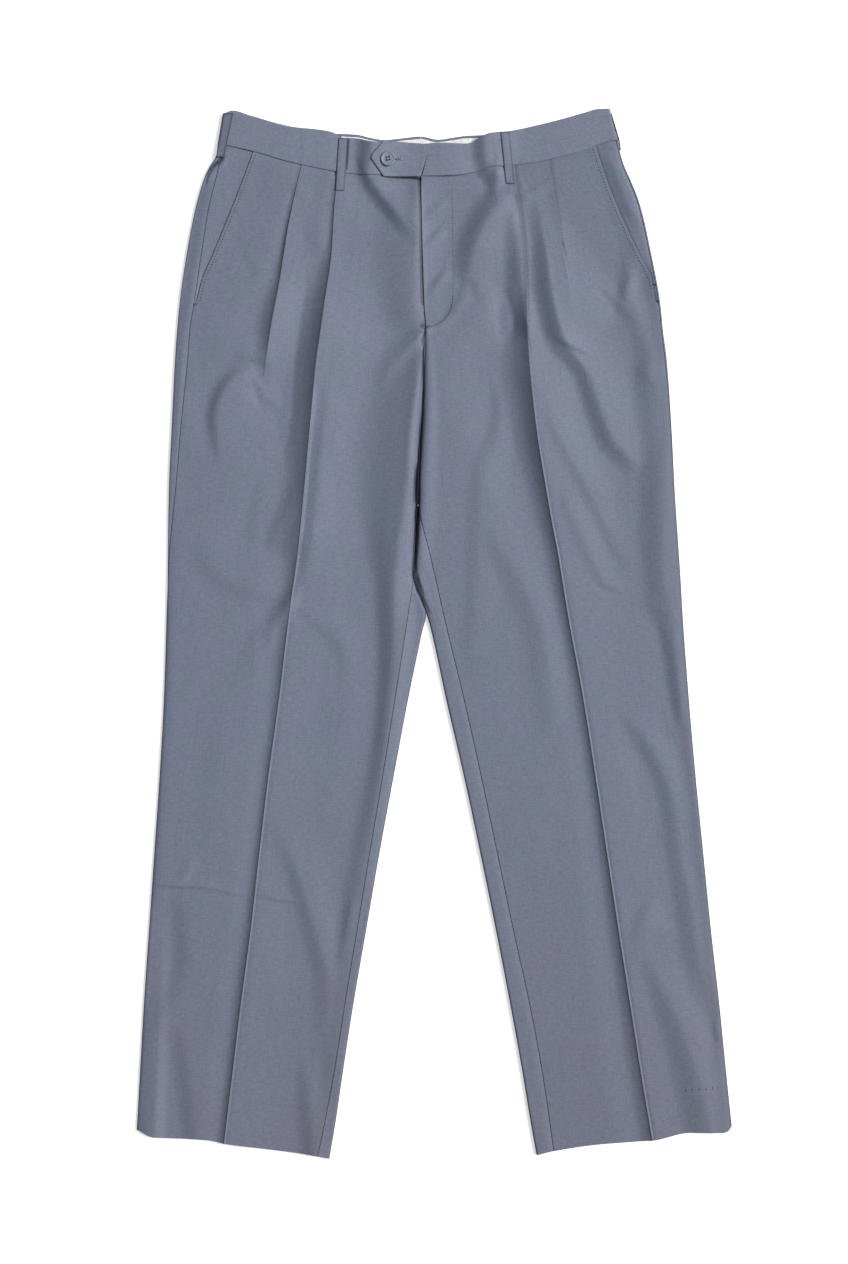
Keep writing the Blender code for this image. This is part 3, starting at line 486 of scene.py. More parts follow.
        (-56, 478, 0, 2, 2), (-50, 477.8, -0.6, 2, 1.6), (-30, 477.6, -1.2, 2.2, 1.8),
        (-15, 477.4, -2, 2.6, 2), (-12.5, 477.4, 0, 2, 2),
    )),
    ("rise: valley", 0.7, (
        (-9.6, 330, 0, 1, 3), (-10.2, 318, -2.2, 1, 3), (-11.4, 292, -3.6, 1, 4),
        (-12.4, 271, -4.8, 1, 4.8), (-14.6, 230, -6.2, 1, 6.2), (-16.6, 200, -6.6, 1, 6.6),
        (-19.4, 155, -6.8, 1, 7.4), (-20.4, 120, -6.8, 1, 7.6), (-22, 87, -6.2, 1, 6.6),
        (-22.8, 64, -5.4, 1, 5.6), (-20.5, 52, -4.6, 1, 4.6), (-14, 36, -3, 1, 4), (-8, 18, 0, 1, 4),
    )),
    ("left: plateau beside the rise", 0, (
        (-4, 340, 0, 20, 50), (-5, 300, 1.2, 22, 70), (-6, 214, 2.4, 24, 75), (-8, 130, 2.4, 24, 75),
        (-8, 70, 1.6, 22, 70), (0, 20, 0.8, 16, 60), (20, -40, 0, 14, 50),
    )),
    ("right: foot of the crease's slope", 1.0, (
        (-131, 392, 0, 12, 8), (-135, 360, -0.7, 14, 10), (-141, 318, -1, 16, 11),
        (-148, 266, -1.1, 16, 12), (-154, 217, -1, 14, 11), (-158, 170, 0, 10, 8),
    )),
    ("right: fold under the side loop", 0.8, (
        (-219, 502, 0, 2, 2), (-222, 498, -3, 3, 2.5), (-228, 493, -3.4, 3, 3), (-233, 489, -3.4, 3, 3),
        (-238, 480, -3, 3, 2), (-241, 470, 0, 2, 2),
    )),
)
# Narrow slits between layers of cloth, where hardly any light comes back, as x, y and width along each
# one. The layers are too close to cast such a shadow, so the cloth is drawn darker there.
SLITS = (
    (
        (-11.4, 331, 0.6), (-11.2, 305, 0.8), (-10.6, 262, 1.6), (-11.4, 232, 2.4), (-14.4, 192, 4),
        (-16.8, 160, 5.2), (-17.2, 130, 5.4), (-17.8, 98, 3.8), (-19.4, 74, 2.2), (-17.6, 62, 1.6),
        (-11, 38, 1.6), (-5, 24, 1),
    ),
    ((-14.6, 478, 3), (-14.4, 462, 2.5), (-13.7, 430, 2.2), (-12.6, 390, 2.1), (-11.2, 345, 1.8)),
    ((-50, 479, 0.5), (-35, 478.8, 1.4), (-20, 478.2, 2.2), (-15, 477.8, 2.8)),
    ((-221, 500.5, 1.8), (-228, 494.5, 1.8), (-236, 487, 1.8), (-240.5, 479, 1.4), (-242.5, 472, 0.6)),
    ((-89.4, 519, 1.7), (-90.4, 505, 1.4), (-91.8, 488, 0.8)),
)
SLIT_SOFT = 1.2         # a slit's shade fades out over this width
DEEP = 2.0              # shade at the bottom of a slit
EDGE_DEEP = 1.8         # painted shadow beside a loop's edge, as if it stood off the cloth

# Ridges that follow a pleat's edge and the pressed crease, as distances towards -X and +X.
RIDGE_COLUMNS = "y height west east"
RIGHT_CREASE_RIDGE = table(
    RIDGE_COLUMNS,
    (494, 0, 4, 30), (478, 0.3, 4, 30), (464, 0.9, 4, 34), (456, 1.2, 4, 40), (420, 1.8, 5, 50),
    (400, 2.6, 8, 60), (380, 4.4, 14, 68), (351, 7.2, 21, 75), (298, 9, 27, 80), (246, 9, 28, 85),
    (204, 8.4, 28, 85), (162, 7.8, 27, 85), (138, 7.6, 29, 85),
    (112, 7.4, 34, 80), (98, 6.6, 35, 78), (84, 4.6, 22, 74), (72, 3.6, 14, 70),
    (36, 3.2, 14, 65), (10, 3, 13, 62), (-6, 2.8, 12, 60), (-69, 2.4, 10, 60), (-174, 2.1, 8, 60),
    (-300, 2.6, 9.5, 60), (-384, 2.8, 10, 60), (-476, 2.8, 9.5, 60), (-560, 2.4, 9, 60),
)
LEFT_CREASE_RIDGE = table(
    RIDGE_COLUMNS,
    (490, 0, 4, 16), (470, 0.3, 4, 16), (456, 0.5, 4, 18), (414, 0.5, 4, 20), (372, 0.8, 5, 24),
    (340, 4.2, 15, 44), (319, 8, 24, 64), (296, 9.8, 30, 80), (267, 10.2, 33, 90), (214, 9.4, 29, 94),
    (183, 8.4, 26, 90), (130, 6, 20, 78), (78, 4.4, 15, 70), (-48, 2.9, 11, 70), (-174, 2.7, 10, 80),
    (-300, 3.3, 12, 90), (-387, 3.7, 14, 95), (-476, 3.7, 15, 95), (-560, 3.3, 14, 95),
)
RIGHT_PLEAT_RIDGE = table(
    RIDGE_COLUMNS,
    (491, 0.2, 3, 14), (456, 1.2, 4, 26), (424, 2, 5, 30), (391, 2.6, 7, 34), (370, 3, 9, 40),
    (351, 4.8, 14, 44), (328, 5.8, 17, 44), (306, 4.8, 16, 42), (286, 2, 12, 36), (265, 0, 8, 24),
)
LEFT_PLEAT_RIDGE = table(
    RIDGE_COLUMNS,
    (498, 0.1, 6, 3), (435, 0.5, 10, 5), (388, 0.5, 13, 6), (351, 0.2, 13, 8), (330, 0, 10, 8),
)
ROUND, HALF_ROUND, CREASED = 0.0, 0.5, 1.0      # how sharp a fold's profile is
STEEP_SIDE = 1.15       # a fold's sides reach this many times as far as FOLDS says
EASY_SIDE = 1.8
FOOT = 0.3              # depth of the hollow at the foot of the steep side, as a share of the height
FOOT_REACH = 2.0
PINCH = 0.5             # the pressed line stands up by this
PINCH_REACH = 1.3
GROOVE = 0.45           # and the cloth dips beside it
GROOVE_AT = 1.9
GROOVE_REACH = 2.4
PRESSED_FROM = 300.0    # the pressed line starts at this height
PRESSED_OVER = 200.0    # and is at its sharpest this much lower
# Size, height and seed of the cloth's unevenness.
RIPPLES = ((46, 0.22, 3), (19, 0.09, 7), (8, 0.03, 11))
LATTICE = 256           # random numbers each way, before they repeat
LATTICE_FROM = 1000.0   # moves the garment to where the lattice is used
LOWEST = 1.3 - TOP      # no hollow goes below this, because the back lies there
FADE = 5.0              # folds die away this close to the side of a tube
FORK_FADE_FROM = 50.0   # they do so at the inner folds below this height
FORK_FADE_OVER = 40.0
# How far the cloth falls towards the right leg's outer side, and over which width.
SIDE_FALL = table(
    "y fall width",
    (560, 0, 12), (490, 0.4, 12), (470, 1.6, 14), (400, 1.8, 16), (340, 1.4, 12), (300, 0.9, 8),
    (-560, 0.9, 8),
)
MEET_ROUNDS = 8         # rounds in which a line's crossing with a row is found
MOUTH_CLEAR = 3.0       # a pocket's mouth keeps this far off the side fold's turn


# ---------------------------------------------------------------------------------------------
# Lines and forms of the flattened legs
# ---------------------------------------------------------------------------------------------


def smooth(xs, ys):
    """A curve through the points that never swings past them."""
    widths = np.diff(xs)
    slopes = np.diff(ys) / widths
    tangents = np.zeros(len(xs))
    tangents[0], tangents[-1] = slopes[0], slopes[-1]
    for i in range(1, len(xs) - 1):
        if slopes[i - 1] * slopes[i] > 0:
            near, far = 2 * widths[i] + widths[i - 1], widths[i] + 2 * widths[i - 1]
            tangents[i] = (near + far) / (near / slopes[i - 1] + far / slopes[i])

    def value(x):
        x = np.clip(x, xs[0], xs[-1])
        i = np.clip(np.searchsorted(xs, x) - 1, 0, len(xs) - 2)
        t = (x - xs[i]) / widths[i]
        start = ys[i] * (1 + 2 * t) * (1 - t) ** 2 + tangents[i] * widths[i] * t * (1 - t) ** 2
        end = ys[i + 1] * t * t * (3 - 2 * t) - tangents[i + 1] * widths[i] * t * t * (1 - t)
        return start + end

    return value


def straight(data, column):
    """Straight stretches through a table's column, over its first column."""
    first = next(iter(data))
    return lambda x: np.interp(x, data[first], data[column])


def curve(data, column):
    """A smooth line through a table's column, over its first column."""
    first = next(iter(data))
    return smooth(data[first], data[column])


def ease(share):
    """0 to 1 with a soft start and end."""
    share = np.clip(share, 0, 1)
    return share * share * (3 - 2 * share)


def mix(a, b, share):
    return a + (b - a) * share


waist_seam = curve(WAIST, "seam")
front_top = curve(WAIST, "front_top")
back_top = curve(WAIST, "back_top")
rise = curve({"y": RIGHT_LINES["y"], "x": -RIGHT_LINES["inner"]}, "x")
fly_under = straight(LAPS, "under")


class Side:
    """One leg of the garment. Distances out from the middle are positive away from it.

    turn_level is the height below which the back's inner edge is turned up round the leg.
    """

    def __init__(self, name, sign, turn_level, lines, fork, hem, pocket, pleat, pocket_lift):
        self.name = name
        self.sign = sign
        self.turn_level = turn_level
        self.fold_out = curve(lines, "fold_out")
        self.outseam = curve(lines, "outseam")
        self.crease = curve(lines, "crease")
        self.inner = curve(lines, "inner")
        self.fold_in = curve(fork, "fold_in")
        self.hem = curve(hem, "y")
        self.mouth = curve(pocket, "mouth")
        self.pleat = curve(pleat, "edge")
        self.lap = curve(LAPS, f"{name}_lap")
        self.pocket_lift = curve(pocket_lift, "lift")
        self.waist_out = self.meet(self.outseam, WAIST_Y)

    def row_y(self, level, out, top=None):
        """The height y of a row, at a distance out from the middle. top is the waist seam there."""
        if top is None:
            top = waist_seam(self.sign * out)
        high = level + (top - WAIST_GAP / 2 - WAIST_Y) * (level - HIP_Y) / (WAIST_Y - HIP_Y)
        low = level + (self.hem(out) - HEM_Y) * (SHIN_Y - level) / (SHIN_Y - HEM_Y)
        return np.where(level > HIP_Y, high, np.where(level < SHIN_Y, low, level))

    def back_seam(self, out):
        """The straight waist seam of the back, from the centre back to the side seam."""
        middle_out = self.sign * MIDDLE_X
        share = (out - middle_out) / (self.waist_out - middle_out)
        return mix(waist_seam(MIDDLE_X), waist_seam(self.sign * self.waist_out), share)

    def back_y(self, level, out):
        return self.row_y(level, out, self.back_seam(out))

    def meet(self, line, level):
        """The distance out at which a line crosses a row."""
        out = line(level)
        for _ in range(MEET_ROUNDS):
            out = line(self.row_y(level, out))
        return out

    def meet_rise(self, level):
        """The distance out at which the seam between the two halves crosses a row."""
        return self.meet(lambda y: self.sign * rise(y), level)


# How far a front is lifted over the pocket's facing, at a height y.
RIGHT_POCKET_LIFT = table("y lift", (520, 0.2), (440, 0.3), (400, 0.3), (365, 0.2), (345, 0))
LEFT_POCKET_LIFT = table("y lift", (520, 0.4), (440, 0.5), (400, 0.9), (365, 1.0), (345, 0))
RIGHT = Side("right", -1, 60, RIGHT_LINES, RIGHT_FORK, RIGHT_HEM, RIGHT_POCKET, RIGHT_PLEAT,
             RIGHT_POCKET_LIFT)
LEFT = Side("left", 1, 134, LEFT_LINES, LEFT_FORK, LEFT_HEM, LEFT_POCKET, LEFT_PLEAT, LEFT_POCKET_LIFT)


def resampled(path, steps=3):
    """A fold's line with more points, on a smooth curve."""
    path = np.array(path, float)
    run = np.concatenate([[0], np.cumsum(np.hypot(*np.diff(path[:, :2], axis=0).T))])
    fine = np.interp(np.arange((len(run) - 1) * steps + 1) / steps, np.arange(len(run)), run)
    return [smooth(run, path[:, i])(fine) for i in range(5)]


def profile(share, sharp):
    """Height across a fold, from 1 at its crest to 0 at its foot."""
    share = np.clip(share, 0, 1)
    return (1 - sharp) * (0.5 + 0.5 * np.cos(np.pi * share)) + sharp * (1 - share) ** 2


def steep_profile(share, sharp):
    """The same on a fold's steep side, which ends in a hollow that rises again slowly."""
    hollow = FOOT * (1 - ease((share - 1) / FOOT_REACH))
    return profile(share, sharp) * (1 + FOOT) - hollow


def fold_height(x, y, sharp, path):
    """What one fold adds to the height at points x, y."""
    xs, ys, heights, rights, lefts = resampled(path)
    trough = heights.min() < 0
    steeps, easies = (lefts, rights) if trough else (rights, lefts)
    steeps, easies = steeps * STEEP_SIDE, easies * EASY_SIDE
    reach = max(steeps.max() * (1 + FOOT_REACH), easies.max())
    near_x = (x > xs.min() - reach) & (x < xs.max() + reach)
    near = near_x & (y > ys.min() - reach) & (y < ys.max() + reach)
    px, py = x[near], y[near]
    best, nearest = np.zeros(px.shape), np.full(px.shape, np.inf)
    for i in range(len(xs) - 1):
        dx, dy = xs[i + 1] - xs[i], ys[i + 1] - ys[i]
        t = np.clip(((px - xs[i]) * dx + (py - ys[i]) * dy) / (dx * dx + dy * dy), 0, 1)
        ax, ay = px - xs[i] - t * dx, py - ys[i] - t * dy
        steep_hand = (ax * dy > ay * dx) ^ trough
        away = np.hypot(ax, ay)
        steep = steep_profile(away / mix(steeps[i], steeps[i + 1], t), sharp)
        easy = profile(away / mix(easies[i], easies[i + 1], t), sharp)
        closer = away < nearest
        value = mix(heights[i], heights[i + 1], t) * np.where(steep_hand, steep, easy)
        best = np.where(closer, value, best)
        nearest = np.where(closer, away, nearest)
    total = np.zeros(x.shape)
    total[near] = best
    return total


def ridge_height(x, y, side, line, ridge, pressed=0.0):
    """What the ridge along a pleat's edge or a pressed crease adds to the height."""
    away = x - side.sign * line(y)
    steep = steep_profile(-away / curve(ridge, "west")(y), CREASED)
    easy = profile(away / curve(ridge, "east")(y), HALF_ROUND)
    groove = GROOVE * profile(np.abs(away - GROOVE_AT) / GROOVE_REACH, HALF_ROUND)
    pinch = PINCH * profile(np.abs(away) / PINCH_REACH, CREASED) - groove
    return curve(ridge, "height")(y) * np.where(away < 0, steep, easy) + pinch * pressed


def slit_shade(x, y):
    """DEEP at the bottom of a slit, and 0 on open cloth."""
    shade = np.zeros(np.shape(x))
    for slit in SLITS:
        for (x1, y1, width1), (x2, y2, width2) in zip(slit, slit[1:]):
            dx, dy = x2 - x1, y2 - y1
            t = np.clip(((x - x1) * dx + (y - y1) * dy) / (dx * dx + dy * dy), 0, 1)
            inside = mix(width1, width2, t) / 2 - np.hypot(x - x1 - t * dx, y - y1 - t * dy)
            shade = np.maximum(shade, DEEP * ease(inside / SLIT_SOFT + 0.5))
    return shade


def unevenness(x, y, size, seed):
    """Smooth random numbers from -1 to 1, with lumps of about that size."""
    lattice = np.random.default_rng(seed).uniform(-1, 1, (LATTICE, LATTICE))
    i, j = np.floor(x / size).astype(int), np.floor(y / size).astype(int)
    s, t = ease(x / size - i), ease(y / size - j)
    i, j = i % (LATTICE - 1), j % (LATTICE - 1)
    near = mix(lattice[i, j], lattice[i + 1, j], s)
    far = mix(lattice[i, j + 1], lattice[i + 1, j + 1], s)
    return mix(near, far, t)


def lie(x, y):
    """How high the folded cloth lies over a flat one at points x, y of the front."""
    x, y = np.asarray(x, float), np.asarray(y, float)
    total = sum(fold_height(x, y, sharp, path) for _, sharp, path in FOLDS)
    pressed = ease((PRESSED_FROM - y) / PRESSED_OVER)
    for side, crease_ridge, pleat_ridge in (
        (RIGHT, RIGHT_CREASE_RIDGE, RIGHT_PLEAT_RIDGE),
        (LEFT, LEFT_CREASE_RIDGE, LEFT_PLEAT_RIDGE),
    ):
        total += ridge_height(x, y, side, side.crease, crease_ridge, pressed)
        total += ridge_height(x, y, side, side.pleat, pleat_ridge)
    for size, height, seed in RIPPLES:
        total += height * unevenness(x + LATTICE_FROM, y + LATTICE_FROM, size, seed)
    left = x > np.where(y > FORK_Y, rise(y), MIDDLE_X)
    fold_out = np.where(left, LEFT.fold_out(y), RIGHT.fold_out(y))
    fold_in = np.where(left, LEFT.fold_in(y), RIGHT.fold_in(y))
    out = np.where(left, x, -x)
    below_fork = ease((FORK_FADE_FROM - y) / FORK_FADE_OVER)
    fade = ease((fold_out - out) / FADE) * (1 - below_fork * (1 - ease((out - fold_in) / FADE)))
    fallen = np.where(left, 0, curve(SIDE_FALL, "fall")(y))
    fallen = fallen * profile((fold_out - out) / curve(SIDE_FALL, "width")(y), ROUND)
    return np.maximum(total, LOWEST) * fade - fallen


def round_fold(edge, along, inset=0.0):
    """The middle of the cloth round a side fold: how far in from the fold, height and direction.

    along is 0 where the upper face starts to turn down, and negative on the turn. inset is how deep
    the cloth lies under the tube's outer face.
    """
    angle = np.where(along < 0, UP - np.degrees(np.minimum(along, 0) / RADIUS), UP)
    turn = np.radians(angle)
    reach = RADIUS - CLOTH / 2 - inset
    u = edge + RADIUS + np.where(along < 0, reach * np.cos(turn), along)
    return u, RADIUS + reach * np.sin(turn), angle


def seam_along(inside):
    """Where a seam lies on the way round the fold, from its distance inside the fold."""
    on_turn = -RADIUS * (np.arccos(np.clip(inside, 0, RADIUS) / RADIUS - 1) - np.pi / 2)
    return np.where(inside >= RADIUS, inside - RADIUS, on_turn)


def outer_start(side, level):
    """The side seam on the way round the outer fold, and the fold's place, inward distances."""
    fold = side.meet(side.fold_out, level)
    return seam_along(fold - side.meet(side.outseam, level)), -fold


def pocket_mouth(side, level, fold):
    """The front's edge at the pocket, kept off the turn of the fold."""
    return np.maximum(-side.meet(side.mouth, level), fold + RADIUS + MOUTH_CLEAR)


# ---------------------------------------------------------------------------------------------
# Shells
# ---------------------------------------------------------------------------------------------

# Points near a seam as distances from it, and how deep the cloth lies there. At each seam one piece
# rolls over the other one, which runs on beneath it. CURLED_INSET is for the points of OVER.
OVER, OVER_INSET = np.array([
    (0, 0.3), (0.1, 0.16), (0.25, 0.07), (0.5, 0.02), (0.9, 0), (1.6, 0), (3, 0), (5.5, 0), (9.5, 0),
]).T
UNDER, UNDER_INSET = np.array([
    (-2.2, 0.85), (-0.5, 0.85), (-0.1, 0.84), (0.2, 0.81), (0.8, 0.72), (1.6, 0.58), (3, 0.36),
    (5.5, 0.12), (9.5, 0),
]).T
CURLED_INSET = np.array([1.9, 1, 0.55, 0.25, 0.08, 0, 0, 0, 0])
SHORT_RIM = 7           # how many of these points a waist edge, a hem or a facing uses
TURNED_RIM = 6          # and a seam of the back
LOWEST_EDGE = 0.75      # an edge that runs under another one stays over the back

# Rows of points from the waist to the hem, as the first and last height of a stretch and the step in it.
ROW_STRETCHES = ((475, 250, 3.0), (250, 30, 4.0), (30, -252, 5.0), (-252, -288, 1.5), (-288, HEM_Y + 6, 5.0))
ROW_LEVELS = np.concatenate([
    WAIST_Y - UNDER[:SHORT_RIM],
    [477.3, 476.4],
    *(np.arange(first, last, -step) for first, last, step in ROW_STRETCHES),
    HEM_Y + OVER[:SHORT_RIM][::-1],
])[:, None]
SMOOTH_ANGLE = math.radians(48)


def waist_inset(level):
    """How deep the panels lie where they run under the waistband."""
    return np.interp(WAIST_Y - level, UNDER, UNDER_INSET)


def shell(name, points, facing, thickness, material, uv=None, pressed=None):
    """A closed shell of cloth on a grid of points on its middle.

    facing is the direction across x and z of its outside at each point, and uv the place in
    millimetres on the flat cloth. pressed is painted shade: up to 1 where the cloth is drawn darker
    for shade at a turn or an edge, DEEP at the bottom of a slit, where hardly any light comes back,
    and 0 elsewhere.
    """
    rows, columns = points.shape[:2]
    step = np.zeros(points.shape)
    step[..., 0] = facing[..., 0] * thickness / 2
    step[..., 2] = facing[..., 1] * thickness / 2
    outside, inside = (points + step).reshape(-1, 3), (points - step).reshape(-1, 3)
    number = np.arange(rows * columns).reshape(rows, columns)
    under = number + rows * columns

    def quads(*corners):
        return np.stack([c.ravel() for c in corners], axis=1)

    faces = np.concatenate([
        quads(number[:-1, :-1], number[1:, :-1], number[1:, 1:], number[:-1, 1:]),
        quads(under[:-1, :-1], under[:-1, 1:], under[1:, 1:], under[1:, :-1]),
        quads(number[1:, 0], number[:-1, 0], under[:-1, 0], under[1:, 0]),
        quads(number[:-1, -1], number[1:, -1], under[1:, -1], under[:-1, -1]),
        quads(number[0, :-1], number[0, 1:], under[0, 1:], under[0, :-1]),
        quads(number[-1, 1:], number[-1, :-1], under[-1, :-1], under[-1, 1:]),
    ])
    i, j = rows // 2, columns // 2
    across = np.cross(points[i + 1, j] - points[i, j], points[i, j + 1] - points[i, j])
    if across[0] * facing[i, j, 0] + across[2] * facing[i, j, 1] < 0:
        faces = faces[:, ::-1]
    mesh = bpy.data.meshes.new(name)
    mesh.from_pydata((np.concatenate([outside, inside]) * MM).tolist(), [], faces.tolist())
    mesh.update()
    if uv is None:
        uv = points[..., :2]
    layer = mesh.uv_layers.new(name="cloth")
    flat = uv.reshape(-1, 2) * MM
    corner = np.zeros(len(mesh.loops), int)
    mesh.loops.foreach_get("vertex_index", corner)
    layer.uv.foreach_set("vector", flat[corner % len(flat)].astype(np.float32).ravel())
    # Painted shade, kept on the mesh for the material to darken the cloth with.
    if pressed is not None:
        shares = pressed + np.zeros(points.shape[:2])
        held = mesh.attributes.new("painted_shade", "FLOAT", "POINT")
        held.data.foreach_set("value", np.tile(shares.ravel(), 2).astype(np.float32))
    return piece_of(name, mesh, material)


def piece_of(name, mesh, material):
    """An object of that mesh, smooth except at its edges."""
    mesh.polygons.foreach_set("use_smooth", [True] * len(mesh.polygons))
    mesh.set_sharp_from_angle(angle=SMOOTH_ANGLE)
    mesh.materials.append(material)
    piece = bpy.data.objects.new(name, mesh)
    bpy.context.scene.collection.objects.link(piece)
    return piece


def painted_turn_shade(angle):
    """How much painted shade a cloth gets from its turn round a fold: 1 where it faces sideways, 0 where it
    faces up or down.
    """
    return 1 - np.abs(np.sin(np.radians(angle)))


def worn(piece, node):
    """The piece stands for a node of the frame."""
    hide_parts(node)
    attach(piece, BODY)
    return piece


def grid_of(side, u, z, angle, level, row_y, raised):
    """Points and directions of a panel, from inward distance, height and direction on each row.

    raised is 1 where the cloth takes the folds of the front, and 0 where it doesn't.
    """
    y = row_y(level, -u)
    x = -side.sign * u
    turn = np.radians(angle)
    z = z + lie(x, y) * raised
    on_top = (angle == UP) & (np.asarray(raised) > 0)
    z = np.maximum(z, np.where(on_top, LOWEST_EDGE, CLOTH / 2))
    facing = np.stack([-side.sign * np.cos(turn), np.sin(turn)], axis=-1)
    return np.stack([x, y, z], axis=-1), facing


def across_uv(points, start, level):
    """Place on the flat cloth: along the row from a column, and down the rows."""
    run = np.hypot(np.diff(points[..., 0], axis=1), np.diff(points[..., 2], axis=1))
    along = np.concatenate([np.zeros((len(points), 1)), np.cumsum(run, axis=1)], axis=1)
    along -= along[:, start:start + 1]
    return np.stack([along, level + 0 * along], axis=-1)


# ---------------------------------------------------------------------------------------------
# Panels
# ---------------------------------------------------------------------------------------------

TURN_STEPS = 8          # points round each turn of a pleat,
LAYER_STEPS = 3         # along its hidden layer
SLOPE_STEPS = 8         # and on the slope before it
LEAST_LAYER = 0.6       # width of the hidden layer where a pleat closes
SLOPE_CLEAR = 0.6       # the slope starts this much further out
AFTER_PLEAT = (0.6, 1.4, 2.6, 4.5, 7.5)
SETTLE = 20.0           # a pleat's top layer comes down over this width
LAP_REACH = 26.0        # width over which a front's inner edge is lifted
LIFT_REACH = 14.0       # the same at a pocket's mouth
BEFORE_PLEATS = (18, 16)        # columns of points before each pleat
INNER_COLUMNS = 38      # and from the last one to the inner edge
CURL_OVER = 4.0         # the edge curls down under the fly's foot over this much of its length
RIGHT_UNDER_Y = 52.0    # below this height the right front starts to run under the back
RIGHT_UNDER_OVER = 20.0
LEFT_UNDER_OVER = 6.0
BORDER = 22.0           # painted shade on the legs' borders on +X, where the cloth turns down, over this width
BORDER_SHADE = 0.28
BORDER_OVER = 60.0      # the right leg's border starts over this much of its length
TOUCH = -0.12           # gap between the two legs where they touch, at the fork
TOUCH_LOW, TOUCH_HIGH = 8.0, 90.0
TOUCH_OVER = 12.0
SEAM_UNDER = 0.9        # the right back's seam runs on under the turned edge of the left one
TURN_UP = 12.0          # the back's inner edge turns up over this much of its length
INNER_TURN = (12, 14)   # columns under the tube and up to the seam, at the back's inner edge
OUTER_TURN = (10, 14)   # and at its outer one
FLOOR_COLUMNS = 10
SEAM_STEP = 0.8         # between two columns along the back's seam
FACING_SINK = 0.9
FACING_UNDER = 6.0
FACING_LEAST = 4.0
FACING_COLUMNS = 25
SINK_CLEAR = 1.0        # the facing is at its lowest this far before the mouth's edge
MOUTH_SINK = 0.7        # it dips under the mouth's edge
MOUTH_SLOPE = 2.2


def steps_to(count):
    """That many steps from 0 towards 1, without the 1."""
    return np.linspace(0, 1, count + 1)[:-1]


def between(first, last, count):
    """Columns of points between two others."""
    return mix(first, last, np.linspace(0, 1, count + 2)[1:-1])


def settling(away, high):
    """Height of a pleat's top layer, at a distance from the last of AFTER_PLEAT."""
    return mix(high, TOP, ease((away + AFTER_PLEAT[-1]) / SETTLE))


def pleat_stretch(side, level, line, folds):
    """Points from the slope before a pleat to its top layer, and where the top layer starts."""
    edge = -side.meet(line, level)
    depth = straight(folds, "depth")(level)
    opened = straight(folds, "open")(level)
    sink, lift, width = PLEAT_STEP[side.name]
    low, high = TOP - sink * opened, TOP + lift * opened
    layer = np.maximum(depth - 2 * TURN - CLOTH / 2, LEAST_LAYER)

    share = (np.arange(TURN_STEPS) + 0.5) / TURN_STEPS
    turn_step = np.pi * TURN / TURN_STEPS
    ones = np.ones(level.shape)
    turning = [180 * opened * s for s in share]
    headings = np.concatenate(turning + [180 * opened] * LAYER_STEPS + turning[::-1], axis=1)
    round_turn = [turn_step * ones] * TURN_STEPS
    steps = np.concatenate(round_turn + [layer / LAYER_STEPS] * LAYER_STEPS + round_turn, axis=1)
    turns = np.radians(headings)
    start = np.zeros(level.shape)
    u = np.concatenate([start, np.cumsum(steps * np.cos(turns), axis=1)], axis=1)
    z = np.concatenate([start, np.cumsum(steps * np.sin(turns), axis=1)], axis=1)
    tall = np.maximum(z[:, -1:], 1e-6)
    z = low + z * (high - low) / tall
    outermost = TURN_STEPS + LAYER_STEPS + TURN_STEPS // 2
    u = u + edge + CLOTH / 2 * opened - u[:, outermost:outermost + 1]
    angle = np.concatenate([start, (headings[:, 1:] + headings[:, :-1]) / 2, start], axis=1) + UP

    first = edge - width - SLOPE_CLEAR
    slope_u = mix(first, u[:, :1], steps_to(SLOPE_STEPS))
    slope_z = mix(TOP, low, ease((slope_u - first) / width))
    after_u = u[:, -1:] + np.array(AFTER_PLEAT)
    after_z = mix(high, TOP, ease(np.array(AFTER_PLEAT) / SETTLE))
    return (
        np.concatenate([slope_u, u, after_u], axis=1),
        np.concatenate([slope_z, z, after_z], axis=1),
        np.concatenate([np.full(slope_u.shape, UP), angle, np.full(after_u.shape, UP)], axis=1),
        high,
    )


